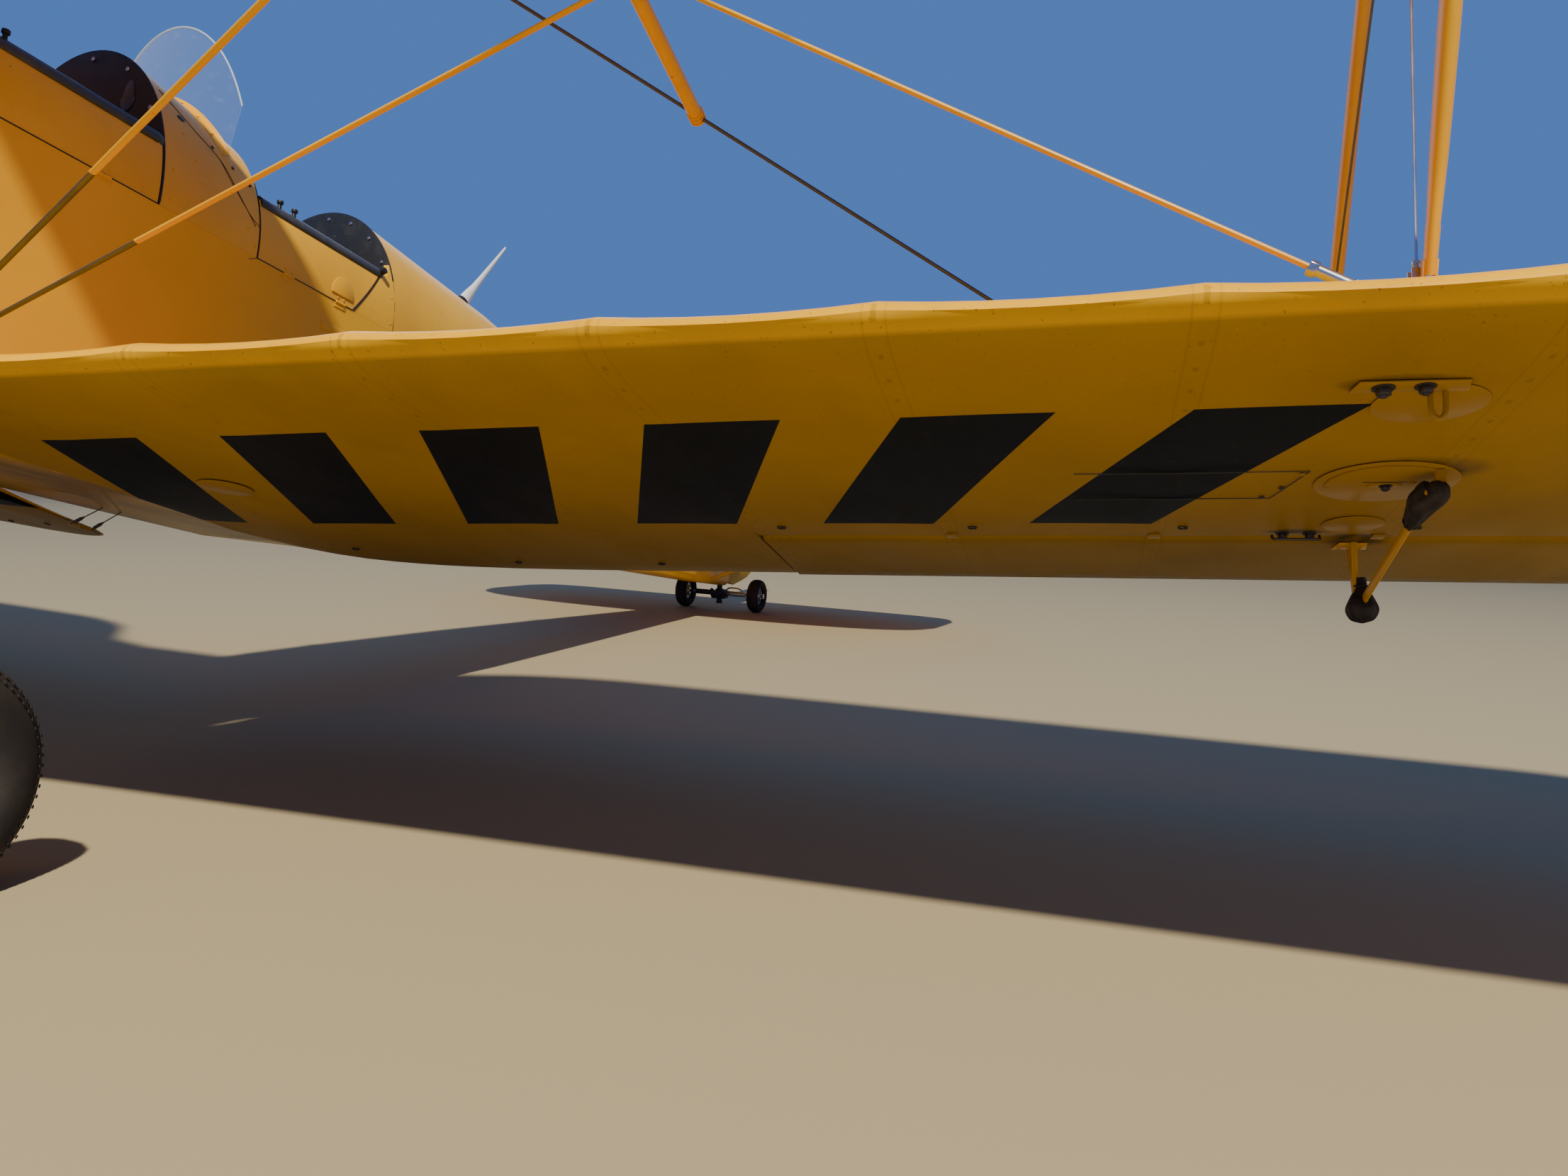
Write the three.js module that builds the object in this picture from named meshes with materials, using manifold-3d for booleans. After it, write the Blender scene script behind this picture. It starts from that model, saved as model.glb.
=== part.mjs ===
// Two-seat training biplane with open cockpits, parked tail down on its main wheels and a tail dolly.
// Lengths are millimetres and angles are degrees. The machine is drawn level in its own axes: x to port,
// y aft and z up from the leading edge of the lower wing, where that meets the fuselage side. It is then
// turned nose up.
import * as THREE from "three";
import { mergeVertices } from "three/addons/utils/BufferGeometryUtils.js";
import Module from "manifold-3d";

const wasm = await Module();
wasm.setup();

// Stance
const NOSE_UP = 12.6; // attitude of the machine as parked
const ROOT_HEIGHT = 906; // leading edge of the lower wing above the ground, at the fuselage
const MIDDLE_AFT = 2105; // from there to the middle of the machine's length on the ground
const FIT = 0.4; // gap between pieces that touch
const SWING = 6; // gap round a piece that swings
const FAR = 9000; // a length beyond everything

// Wings
const CHORD = 1330; // unit of the wing sections
const ROOT_X = 350; // station where the wing roots are given
const NOSE_RISE = 0.03; // wing section's nose above its flat underside, in chords
const LOWER_WING = { aft: 0, up: 0, sweep: 4.04, dihedral: 4.24, incidence: 5.97, toe: 4.76 };
const UPPER_WING = { aft: -629, up: 1522, sweep: 3.98, dihedral: 2.61, incidence: 5.98, toe: 0 };
// Columns: place along the chord, top and bottom above the flat underside, all in chords
const SECTION = [
  [0, 0.03, 0.03],
  [0.0125, 0.046, 0.015],
  [0.04, 0.058, 0.006],
  [0.1, 0.069, 0.001],
  [0.2, 0.0755, 0],
  [0.32, 0.0765, 0],
  [0.45, 0.073, 0],
  [0.6, 0.063, 0],
  [0.75, 0.047, 0],
  [0.88, 0.0275, 0],
  [0.98, 0.0155, 0],
  [1.07, 0.004, 0],
];
// Columns: station, leading edge and trailing edge in chords, thickness as a share of the full section
const LOWER_PLAN = [
  [250, 0, 0.6, 1],
  [330, 0, 0.66, 1],
  [390, 0, 0.735, 1],
  [470, 0, 0.865, 1],
  [550, 0, 0.94, 1],
  [640, 0, 0.99, 1],
  [800, 0, 1.035, 1],
  [1040, 0, 1.06, 1],
  [1500, 0, 1.07, 1],
  [3900, 0, 1.07, 1],
  [4150, 0.015, 1.05, 0.95],
  [4300, 0.06, 0.99, 0.8],
  [4400, 0.14, 0.89, 0.6],
  [4460, 0.27, 0.73, 0.3],
];
const UPPER_PLAN = [
  [300, 0, 0.74, 1],
  [650, 0, 0.78, 1],
  [800, 0, 0.88, 1],
  [950, 0, 0.98, 1],
  [1150, 0, 1.045, 1],
  [1400, 0, 1.07, 1],
  [3950, 0, 1.07, 1],
  [4180, 0.015, 1.05, 0.95],
  [4320, 0.06, 0.99, 0.8],
  [4410, 0.14, 0.89, 0.6],
  [4470, 0.27, 0.73, 0.3],
];
const TANK_HALF = 450; // half the width of the fuel tank between the upper wings
const TANK_BULGE = 1.5; // its thickness as a share of the wing section
const AILERON = { from: 1890, to: 4130, hinge: 0.805, nose: 26, station: 0.0385 };
const AILERON_HINGES = [2339, 3184, 3950];
const HINGE_WIDTH = 34;
const CRANK = { x: 3114, chord: 0.5, radius: 95, pinOut: 65, pinAhead: 68, thick: 5, pin: 9 };
const HORN = { x: 3150, drop: 128, thick: 12, root: 60, tip: 26, notch: 60 };
const ROD = { wide: 24, thick: 9, below: 24, shortBy: 18 };

// Interplane and centre struts; each end is x, aft, up
const STRUT_CHORD = 66;
const STRUT_THICK = 27;
const STRUT_OVERRUN = 60; // drawn past each end, then trimmed on the wings
const STRUT_TRIM = { foot: 40, head: 10 };
const INTERPLANE = {
  front: [[3036, 385, 250], [2961, -260, 1622]],
  rear: [[2974, 1134, 162], [2961, 492, 1543]],
};
const CABANE = {
  frontTop: [425, -435, 1500],
  rearTop: [425, 317, 1425],
  frontFoot: [318, -362, 640],
  rearFoot: [326, -62, 640],
  foot: 638,
  head: 1560,
};
const CABANE_BRACE = { chord: 40, thick: 20 };
const WIRE = 5.5; // radius of a flying or landing wire
const WIRE_SIDES = 6;
const WIRE_LENGTHS = 6; // lengths that a wire's faces are split into
const FLYING_ANCHOR = [368.5, 131, 42];
const FLYING_LUG = [[351, 388], [112, 150], [-10, 58]];
const LANDING_ANCHOR = [447, 145, 1446.5];
const LANDING_FEET = [[2976, 382, 256], [2923.5, 1131, 168]];
const LANDING_EYE = { from: [8, 0, -40], to: [-10, 0, 5], radius: 10 };
const LANDING_TRIM = { out: 20, under: 22 }; // above and inboard of the anchor the wires stop
const SPREADER = { front: [1776, 279.5, 819.6], rear: [1746, 651, 777], radius: 15, over: 22 };

// Fuselage
const WALL = 18;
const LONGERON = 633; // top longeron, where the rounded decking starts
const CORNER = 35;
// Columns: aft, half width, bottom, foot of the decking, crown
const FUSELAGE = [
  [-430, 305, -80, 628, 862],
  [0, 330, -60, 633, 985],
  [632, 330, -60, 633, 1066],
  [940, 330, -60, 633, 1010],
  [1490, 330, -60, 633, 1040],
  [2180, 300, 5, 628, 996],
  [3000, 236, 128, 615, 905],
  [3900, 160, 245, 600, 790],
  [4600, 98, 302, 590, 700],
  [5020, 50, 344, 578, 636],
];
const BELLY = -60; // flat bottom between the wings
const CROWN_STEPS = 8; // flats on each side of the rounded decking
const FIREWALL = -430;
const TAIL_END = 5020;
const REAR_JOINT = 1490;
const DOOR_TOP = 805;
const CHEEK_RISE = 60; // the rear cockpit's side climbs by this much behind its door
const TROUGH_MOUTH = { bottom: 300, rear: 1200, rearHalf: 300, rearTop: 800 };
const TAIL_DECK = { from: 4040, above: 600 }; // decking left off under the tailplane
const SCUTTLE_END = 98;
const HUMP = [634, 938]; // decking between the cockpits
const SEAM = 7; // gap round a hinged panel
// Columns: name, front of the foot, rear of the foot, front of the top, rear of the top
const DOORS = [
  ["front", 103, 628, 103, 628],
  ["rear", 943, 1310, 943, 1432],
];
const SEAT = { width: 480, depth: 400, thick: 22, back: 420, pan: 190, arm: 120 };
const SEATS = [["front", 215], ["rear", 1065]];

// Windscreens. Columns: name, front of the sheet at its foot, half width, foot, height, rear end of the
// decking that carries it
const SCREENS = [
  ["front", -40, 235, 970, 265, 98],
  ["rear", 815, 245, 1010, 262, 938],
];
const SCREEN = { thick: 6, wrap: 68, bow: 95, buried: 160, wider: 30, lean: 0.1, steps: 12 };

// Whip aerial. Columns: height up its length, radius
const AERIAL = [
  [0, 24],
  [90, 20],
  [150, 9],
  [400, 4],
];
const AERIAL_FOOT = { aft: 2170, up: 970, rake: 0.62, rise: 0.94, oval: 1.5, sides: 8 };

// Nose
const COWL = [
  [-1500, 118, 150, 520, 690],
  [-1430, 175, 60, 545, 722],
  [-1250, 225, -30, 572, 768],
  [-880, 275, -78, 602, 818],
  [-430, 305, -80, 628, 862],
];
const COWL_SKIN = 14;
const COWL_MOUTH = { half: 280, from: -500, bottom: -60, top: 800 };
const COWL_SIDE = 100; // the side panels lie outboard of this
const NOSE_FRONT = -1500;
const NOSE_HOLES = [NOSE_FRONT - 100, NOSE_FRONT + 40];
// Columns: inboard and outboard edge, bottom and top of an air intake
const INTAKES = [
  [30, 96, 200, 400],
  [-96, -30, 200, 300],
];
const COWL_DOOR = { front: -1235, rear: -452, top: 560, bottom: 50 };
const ENGINE = { half: 110, bottom: 60, top: 585, front: -1370 };
const THRUST = 550; // propeller shaft above the datum
const SHAFT = { radius: 34, gap: 16, flange: 78, flangeThick: 12 };
const PROP = { plane: -1592, boss: 84, thick: 112, pitch: 1150, coarsest: 62, park: 24, steps: 12 };
// Columns: radius, blade chord, blade thickness
const BLADE = [
  [50, 96, 86],
  [160, 118, 62],
  [320, 158, 40],
  [560, 164, 25],
  [780, 138, 16],
  [900, 104, 11],
  [950, 62, 8],
  [965, 26, 6],
];
const EXHAUST = { radius: 30, points: [[-190, -700, -60], [-190, -640, -175], [-190, 420, -175]] };
const EXHAUST_HANGERS = [[[-196, -184], [-300, -270], [-160, -30]], [[-196, -184], [300, 330], [-160, -30]]];

// Tail
const TAIL_UP = 636; // mid-plane of the tailplane and elevators
const TAIL_THICK = 64;
const ELEVATOR_AXIS = 4880;
const RUDDER_AXIS = 5056;
const NOSE_R = 24; // rounded nose of elevator and rudder
const NOSE_SIDES = 16; // flats round the nose of any control surface
const CONTROL_REACH = 900; // longer than any control surface is deep
const ELEVATOR_HINGES = [-1150, -600, 600, 1150];
const ELEVATOR_NOSE_HALF = 1400;
const ELEVATOR_SLOT = { front: 4700, half: 62, wideFrom: 4890, rear: 5300, rearHalf: 150 }; // for the rudder
const TORQUE_TUBE = { half: 200, radius: 14 };
const RUDDER_HINGES = [760, 1110];
const RUDDER_NOSE = [374, 1270];
const RUDDER_LUG = { ups: [400, 540], half: 12, rise: 15, root: 60 };
const TAIL_STRUT = { foot: [60, 4705, 330], head: [810, 4600, 640], chord: 40, thick: 18 };
// Columns: place along the chord and height in half thicknesses, for the tail surfaces
const TAIL_SECTION = [
  [0.03, 0.45],
  [0.12, 0.85],
  [0.3, 1],
  [0.6, 0.8],
  [0.85, 0.4],
  [1, 0.12],
];
// Columns: station, leading edge, trailing edge, thickness as a share
const TAILPLANE = [
  [-1475, 4560, 5010, 0.35],
  [-1430, 4420, 5150, 0.7],
  [-1300, 4270, 5235, 0.95],
  [-1000, 4140, 5262, 1],
  [0, 4045, 5262, 1],
  [1000, 4140, 5262, 1],
  [1300, 4270, 5235, 0.95],
  [1430, 4420, 5150, 0.7],
  [1475, 4560, 5010, 0.35],
];
const RUDDER = [
  [374, 5030, 5190, 0.8],
  [460, 5030, 5400, 0.9],
  [600, 5030, 5545, 1],
  [800, 5030, 5628, 1],
  [1000, 5030, 5650, 1],
  [1180, 5030, 5610, 1],
  [1320, 5070, 5515, 0.9],
  [1400, 5130, 5410, 0.6],
  [1440, 5200, 5330, 0.3],
];
const FIN = [
  [660, 4395, 5090, 1],
  [800, 4535, 5090, 1],
  [1000, 4750, 5090, 1],
  [1130, 4900, 5090, 0.9],
  [1196, 5000, 5090, 0.7],
];
const RUDDER_THICK = 56;

// Wheels and their legs, on the ground
const WHEEL = { x: 798, y: -143, radius: 230, width: 150, rim: 118, bore: 21, axle: 20, facets: 26 };
const LEG = { top: [300, -300, -50], chord: 74, thick: 48 };
const RADIUS_ROD = { top: [285, 560, -50], radius: 18 };
const HALF_AXLE = { root: [40, 60, -160], radius: 24, post: 22, postTop: -50 };
const GEAR_INSET = { hub: 70, collar: 12, collarRadius: 42, knee: 30, leg: 40, legRise: 20, axleEnd: 82 };
// Columns: place across a tyre in half widths, place from the rim to the tread
const TYRE = [
  [-0.55, 0],
  [-1, 0.35],
  [-0.95, 0.68],
  [-0.62, 0.92],
  [-0.3, 1],
  [0.3, 1],
  [0.62, 0.92],
  [0.95, 0.68],
  [1, 0.35],
  [0.55, 0],
];
const HUB = { half: 62, boss: 42, rimHalf: 46, bevel: 4 };
const DOLLY_HUB = { half: 28, boss: 20, rimHalf: 14, into: 4 };
const DOLLY = { y: 4972, track: 476, radius: 100, width: 70, rim: 52, bore: 9.5, axle: 9, facets: 18 };
const SKID = { y: 4950, radius: 16, foot: 40, head: 400, trim: 352 };
const DOLLY_CLAMP = { half: 42, ahead: 34, behind: 26, bottom: 70, top: 118 };
const DOLLY_TUBE = { radius: 16, inset: 70, axleOver: 12 };

const paint = (color, roughness, metalness) =>
  new THREE.MeshStandardMaterial({ color, roughness, metalness });
const MATERIALS = {
  fabric: paint(0xe0a30c, 0.35, 0),
  paintwork: paint(0xe3a60d, 0.3, 0.1),
  steel: paint(0x8d9299, 0.35, 0.9),
  rubber: paint(0x1b1a19, 0.85, 0),
  wood: paint(0x5a3a20, 0.35, 0),
  leather: paint(0x3a2a20, 0.7, 0),
  glass: paint(0xdfe8ee, 0.05, 0),
  white: paint(0xeeeeea, 0.4, 0),
  dollySteel: paint(0x8fa3b5, 0.4, 0.6),
};

const v3 = (p) => new THREE.Vector3(...p);
const rad = THREE.MathUtils.degToRad;
const mirrored = new THREE.Matrix4().makeScale(-1, 1, 1);

// A closed geometry as a solid with its faces pointing out
function solid(geometry, matrix) {
  const loose = geometry.index ? geometry.toNonIndexed() : geometry.clone();
  loose.deleteAttribute("normal");
  loose.deleteAttribute("uv");
  if (matrix) loose.applyMatrix4(matrix);
  const merged = mergeVertices(loose, 1e-3);
  const points = merged.attributes.position.array;
  const faces = [];
  let volume = 0;
  for (let i = 0; i < merged.index.count; i += 3) {
    const [a, b, c] = merged.index.array.slice(i, i + 3);
    if (a === b || b === c || c === a) continue;
    faces.push([a, b, c]);
    const [p, q, r] = [a, b, c].map((k) => v3(points.slice(3 * k, 3 * k + 3)));
    volume += p.dot(q.cross(r));
  }
  const triVerts = new Uint32Array(faces.flatMap((f) => (volume < 0 ? [f[0], f[2], f[1]] : f)));
  return new wasm.Manifold(new wasm.Mesh({ numProp: 3, vertProperties: points, triVerts }));
}

function geometryOf(body) {
  const mesh = body.getMesh();
  const points = new Float32Array(mesh.numVert * 3);
  for (let i = 0; i < mesh.numVert; i++) {
    points.set(mesh.vertProperties.subarray(i * mesh.numProp, i * mesh.numProp + 3), i * 3);
  }
  const geometry = new THREE.BufferGeometry().setAttribute("position", new THREE.BufferAttribute(points, 3));
  return geometry.setIndex(new THREE.BufferAttribute(mesh.triVerts, 1));
}

const moved = (body, matrix) => solid(geometryOf(body), matrix);
const shifted = (body, x, y, z) => moved(body, new THREE.Matrix4().makeTranslation(x, y, z));
const join = (...bodies) => bodies.reduce((sum, body) => sum.add(body));
const cut = (body, ...tools) => tools.reduce((rest, tool) => rest.subtract(tool), body);

// A piece trimmed to lie on its carrier, with the fitting gap in the direction given
const seated = (body, carrier, ...ways) => cut(body, ...ways.map((way) => shifted(carrier, ...way)));

function box(x, y, z) {
  const size = [x, y, z].map(([low, high]) => high - low);
  const centre = [x, y, z].map(([low, high]) => (low + high) / 2);
  return solid(new THREE.BoxGeometry(...size).translate(...centre));
}

// A closed skin through rings of points, each ring with as many points as the next. The quads are split the
// same way on both sides of the middle, so that a symmetrical skin is its own mirror image
function loft(rings) {
  const count = rings[0].length;
  const points = rings.flat();
  const faces = [];
  for (let r = 0; r + 1 < rings.length; r++) {
    for (let i = 0; i < count; i++) {
      const a = r * count + i;
      const b = r * count + ((i + 1) % count);
      const portHalf = i < (count - 1) / 2 === r < (rings.length - 1) / 2;
      const [c, d] = [a + count, b + count];
      faces.push(...(portHalf ? [a, b, c, b, d, c] : [a, b, d, a, d, c]));
    }
  }
  for (const [ring, base, flip] of [[rings[0], 0, true], [rings.at(-1), points.length - count, false]]) {
    const centre = points.push(ring.reduce((sum, p) => sum.add(p), v3([0, 0, 0])).divideScalar(count)) - 1;
    for (let i = 0; i < count; i++) {
      const next = (i + 1) % count;
      faces.push(...(flip ? [centre, base + next, base + i] : [centre, base + i, base + next]));
    }
  }
  return solid(new THREE.BufferGeometry().setFromPoints(points).setIndex(faces));
}

function rod(from, to, radius, sides = 10, lengths = 1) {
  const [a, b] = [v3(from), v3(to)];
  const along = b.clone().sub(a);
  const turn = new THREE.Quaternion().setFromUnitVectors(v3([0, 1, 0]), along.clone().normalize());
  const matrix = new THREE.Matrix4().compose(a.add(b).divideScalar(2), turn, v3([1, 1, 1]));
  return solid(new THREE.CylinderGeometry(radius, radius, along.length(), sides, lengths), matrix);
}

// A streamlined bar with its section's long side as near the given way, fore and aft, as it can be
function strut(from, to, chord, thick, way = [0, 1, 0]) {
  const outline = new THREE.Shape();
  outline.absellipse(0, 0, chord / 2, thick / 2, 0, 2 * Math.PI);
  const up = v3(to).sub(v3(from));
  const drawn = { depth: up.length(), bevelEnabled: false, curveSegments: 10 };
  const geometry = new THREE.ExtrudeGeometry(outline, drawn);
  const z = up.clone().normalize();
  const y = new THREE.Vector3().crossVectors(z, v3(way)).normalize();
  const x = new THREE.Vector3().crossVectors(y, z);
  return solid(geometry, new THREE.Matrix4().makeBasis(x, y, z).setPosition(v3(from)));
}

// A ring turned about the x axis, from a profile of [place along the axis, radius] pairs
function turned(profile, segments, centre) {
  const lathe = new THREE.LatheGeometry(profile.map(([along, r]) => new THREE.Vector2(r, along)), segments);
  const matrix = new THREE.Matrix4().makeRotationZ(-Math.PI / 2).setPosition(v3(centre));
  return solid(lathe, matrix);
}

// A polygon of [y, z] pairs drawn across the machine from one x to another
function sidePrism(outline, x) {
  const shape = new THREE.Shape(outline.map((p) => new THREE.Vector2(...p)));
  const geometry = new THREE.ExtrudeGeometry(shape, { depth: x[1] - x[0], bevelEnabled: false });
  const basis = new THREE.Matrix4().makeBasis(v3([0, 1, 0]), v3([0, 0, 1]), v3([1, 0, 0]));
  return solid(geometry, basis.setPosition(x[0], 0, 0));
}

const group = new THREE.Group();
const machine = new THREE.Group(); // turned nose up
const ground = new THREE.Group(); // level
machine.rotation.x = -rad(NOSE_UP);
machine.position.set(0, -MIDDLE_AFT, ROOT_HEIGHT);
ground.position.set(0, -MIDDLE_AFT, 0);
group.add(machine, ground);

function add(name, body, material, parent = machine) {
  const mesh = new THREE.Mesh(geometryOf(body), material);
  mesh.name = name;
  parent.add(mesh);
  return body;
}

// The same piece on both sides: port is made and starboard is its mirror image. On lists each carrier with
// the ways in which the fitting gap to it runs
function addPair(name, body, material, { on = [], trim = [], parent = machine } = {}) {
  let piece = cut(body, ...trim);
  for (const [carrier, ...ways] of on) piece = seated(piece, carrier, ...ways);
  add(name + "_left", piece, material, parent);
  add(name + "_right", moved(piece, mirrored), material, parent);
}

// A point on the ground's axes, in the machine's
function fromGround([x, y, z]) {
  const [c, s] = [Math.cos(rad(NOSE_UP)), Math.sin(rad(NOSE_UP))];
  return [x, y * c - (z - ROOT_HEIGHT) * s, y * s + (z - ROOT_HEIGHT) * c];
}

// Wing panels: station x along the leading edge, c aft along the rib and n up from the chord line
function wingFrame(wing) {
  const angles = [wing.sweep, wing.dihedral, wing.incidence, wing.toe];
  const [sweep, dihedral, incidence, toe] = angles.map(rad);
  const out = v3([1, Math.tan(sweep), Math.tan(dihedral)]);
  const level = Math.cos(incidence);
  const aft = v3([-Math.sin(toe) * level, Math.cos(toe) * level, -Math.sin(incidence)]);
  const up = new THREE.Vector3().crossVectors(out, aft).normalize();
  const centreline = v3([0, wing.aft, wing.up]).addScaledVector(out, -ROOT_X).setX(0);
  return new THREE.Matrix4().makeBasis(out, aft, up).setPosition(centreline);
}

// Heights of the section above the chord line, in chords, at a place along it
const aboveChord = (place, height) => height - NOSE_RISE * (1 - place);
const SECTION_RING = [
  ...SECTION.map(([c, top]) => [c, aboveChord(c, top)]),
  ...SECTION.slice(1).reverse().map(([c, , bottom]) => [c, aboveChord(c, bottom)]),
];
const LAST_PLACE = SECTION.at(-1)[0];
const panel = (plan, bulge = 1) => loft(plan.map(([x, lead, trail, thick]) => SECTION_RING.map(([c, n]) =>
  v3([x, (lead + ((trail - lead) * c) / LAST_PLACE) * CHORD, n * thick * bulge * CHORD]))));

// Control surfaces: the part aft of the hinge line, with a round nose, and the space it needs
function nose([y, z], radius, span) {
  const behind = [y, y + CONTROL_REACH];
  const aboutAxis = [z - CONTROL_REACH / 3, z + CONTROL_REACH / 3];
  return join(rod([span[0], y, z], [span[1], y, z], radius, NOSE_SIDES), box(span, behind, aboutAxis));
}
const roundNose = (radius, gap) => (radius + gap) / Math.cos(Math.PI / NOSE_SIDES);
function bay(axis, radius, span, hinges) {
  const edges = [span[0], ...hinges.flatMap((x) => [x - HINGE_WIDTH / 2, x + HINGE_WIDTH / 2]), span[1]];
  const gaps = [];
  for (let i = 0; i < edges.length; i += 2) {
    gaps.push(nose(axis, roundNose(radius, SWING), [edges[i], edges[i + 1]]));
  }
  return join(nose(axis, roundNose(radius, FIT), span), ...gaps);
}

// Lower wings with their ailerons, cranks and push rods
const lowerFrame = wingFrame(LOWER_WING);
const upperFrame = wingFrame(UPPER_WING);
const inboardOf = (x) => box([-FAR, x], [-FAR, FAR], [-FAR, FAR]);
const hullSide = Math.max(...FUSELAGE.map(([, half]) => half));
const lowerPanel = panel(LOWER_PLAN);
const aileronAxis = [AILERON.hinge * CHORD,
  aboveChord(AILERON.hinge, AILERON.station / 2) * CHORD];
const aileronSpan = [AILERON.from + SWING, AILERON.to - SWING];
const hornNotch = box([HORN.x - HORN.thick / 2 - SWING, HORN.x + HORN.thick / 2 + SWING],
  [aileronAxis[0] - HORN.notch, aileronAxis[0]], [-HORN.drop, aileronAxis[1]]);
const baySpan = [AILERON.from, AILERON.to];
const aileronBay = join(bay(aileronAxis, AILERON.nose, baySpan, AILERON_HINGES), hornNotch);
const lowerWing = cut(moved(cut(lowerPanel, aileronBay), lowerFrame), inboardOf(hullSide + FIT));
addPair("lower_wing", lowerWing, MATERIALS.fabric);

const undersideAt = (place) => aboveChord(place, 0) * CHORD;
const hornFoot = [HORN.x, aileronAxis[0], undersideAt(AILERON.hinge) - HORN.drop];
const horn = sidePrism([
  [aileronAxis[0] - HORN.tip / 2, aileronAxis[1]],
  [aileronAxis[0] + HORN.root, aileronAxis[1]],
  [hornFoot[1] + HORN.tip / 2, hornFoot[2] - HORN.tip / 2],
  [hornFoot[1] - HORN.tip / 2, hornFoot[2] - HORN.tip / 2],
], [HORN.x - HORN.thick / 2, HORN.x + HORN.thick / 2]);
const aileron = join(lowerPanel.intersect(nose(aileronAxis, AILERON.nose, aileronSpan)), horn);
addPair("aileron", moved(aileron, lowerFrame), MATERIALS.fabric);

const crankPlace = [CRANK.x, CRANK.chord * CHORD, undersideAt(CRANK.chord)];
const crankTilt = new THREE.Matrix4().makeRotationX(Math.atan(NOSE_RISE)).setPosition(v3(crankPlace));
const crankPin = [CRANK.pinOut, -CRANK.pinAhead];
const crank = moved(join(
  rod([0, 0, -FIT - CRANK.thick], [0, 0, -FIT], CRANK.radius, 28),
  rod([...crankPin, -FIT - ROD.below], [...crankPin, -FIT], CRANK.pin),
), crankTilt);
addPair("aileron_crank", moved(crank, lowerFrame), MATERIALS.steel);

const rodX = HORN.x + HORN.thick / 2 + FIT + ROD.thick / 2;
const rodHead = [rodX, crankPlace[1] - CRANK.pinAhead, crankPlace[2] - ROD.below - ROD.shortBy];
const pushRod = strut([rodX, hornFoot[1], hornFoot[2]], rodHead, ROD.wide, ROD.thick, [0, 0, 1]);
addPair("aileron_rod", moved(pushRod, lowerFrame), MATERIALS.paintwork);

// Upper wings and the fuel tank between them
const upperWing = cut(moved(panel(UPPER_PLAN), upperFrame), inboardOf(TANK_HALF + FIT));
addPair("upper_wing", upperWing, MATERIALS.fabric);
const tankFrame = wingFrame({ ...UPPER_WING, sweep: 0, dihedral: 0 });
const tankPlan = [-TANK_HALF, TANK_HALF].map((x) => [x, ...UPPER_PLAN[0].slice(1)]);
const tank = moved(panel(tankPlan, TANK_BULGE), tankFrame);
add("fuel_tank", tank, MATERIALS.paintwork);

// Fuselage sections
function hullRing([y, half, bottom, foot, crown]) {
  const port = [
    [half - CORNER, bottom],
    [half - 0.3 * CORNER, bottom + 0.3 * CORNER],
    [half, bottom + CORNER],
  ];
  for (let i = 0; i < CROWN_STEPS; i++) {
    const turn = (i / CROWN_STEPS) * (Math.PI / 2);
    port.push([half * Math.cos(turn), foot + (crown - foot) * Math.sin(turn)]);
  }
  const starboard = port.map(([x, z]) => [-x, z]).reverse();
  return [...port, [0, crown], ...starboard].map(([x, z]) => v3([x, y, z]));
}
function sectionAt(table, y) {
  const i = Math.max(1, table.findIndex((row) => row[0] >= y));
  const [low, high] = [table[i - 1], table[i]];
  const t = (y - low[0]) / (high[0] - low[0]);
  return low.map((value, k) => value + (high[k] - value) * t);
}
function hullBetween(table, from, to, inset = 0) {
  const inside = table.filter(([y]) => y > from && y < to);
  const rows = [sectionAt(table, from), ...inside, sectionAt(table, to)];
  return loft(rows.map(([y, half, bottom, foot, crown]) =>
    hullRing([y, half - inset, bottom + inset, foot, crown - inset])));
}
const below = (z) => box([-FAR, FAR], [-FAR, FAR], [-FAR, z]);
const above = (z) => box([-FAR, FAR], [-FAR, FAR], [z, FAR]);

const innerHalf = hullSide - WALL;
const trough = hullBetween(FUSELAGE, FIREWALL + WALL, REAR_JOINT - FIT - 1, WALL);
const openTop = box([-innerHalf, innerHalf], [FIREWALL + WALL, REAR_JOINT], [TROUGH_MOUTH.bottom, FAR]);
const openEnd = box([-TROUGH_MOUTH.rearHalf, TROUGH_MOUTH.rearHalf], [TROUGH_MOUTH.rear, REAR_JOINT],
  [BELLY + 2 * WALL, TROUGH_MOUTH.rearTop]);
const hullBody = hullBetween(FUSELAGE, FIREWALL, REAR_JOINT - FIT).intersect(below(LONGERON));
add("cockpit_hull", cut(hullBody, trough, openTop, openEnd), MATERIALS.paintwork);

const scuttle = hullBetween(FUSELAGE, FIREWALL, SCUTTLE_END).intersect(above(LONGERON + FIT));
add("front_decking", scuttle, MATERIALS.paintwork);
const hump = hullBetween(FUSELAGE, ...HUMP).intersect(above(LONGERON + FIT));
add("middle_decking", hump, MATERIALS.paintwork);

// Doors and the cheeks beside the rear cockpit are cut from one rounded shell
const shell = cut(hullBetween(FUSELAGE, 0, REAR_JOINT), hullBetween(FUSELAGE, -FIT, REAR_JOINT + FIT, WALL));
for (const [name, footFront, footRear, topFront, topRear] of DOORS) {
  const outline = [
    [footFront, LONGERON + FIT], [footRear, LONGERON + FIT], [topRear, DOOR_TOP], [topFront, DOOR_TOP],
  ];
  addPair("door_" + name, shell.intersect(sidePrism(outline, [0, FAR])), MATERIALS.paintwork);
}
const [, , doorRear, , doorTopRear] = DOORS[1];
const cheek = sidePrism([
  [doorRear + SEAM, LONGERON + FIT], [REAR_JOINT, LONGERON + FIT], [REAR_JOINT, DOOR_TOP + CHEEK_RISE],
  [(doorTopRear + REAR_JOINT) / 2, DOOR_TOP], [doorTopRear + SEAM, DOOR_TOP],
], [-FAR, FAR]);
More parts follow.
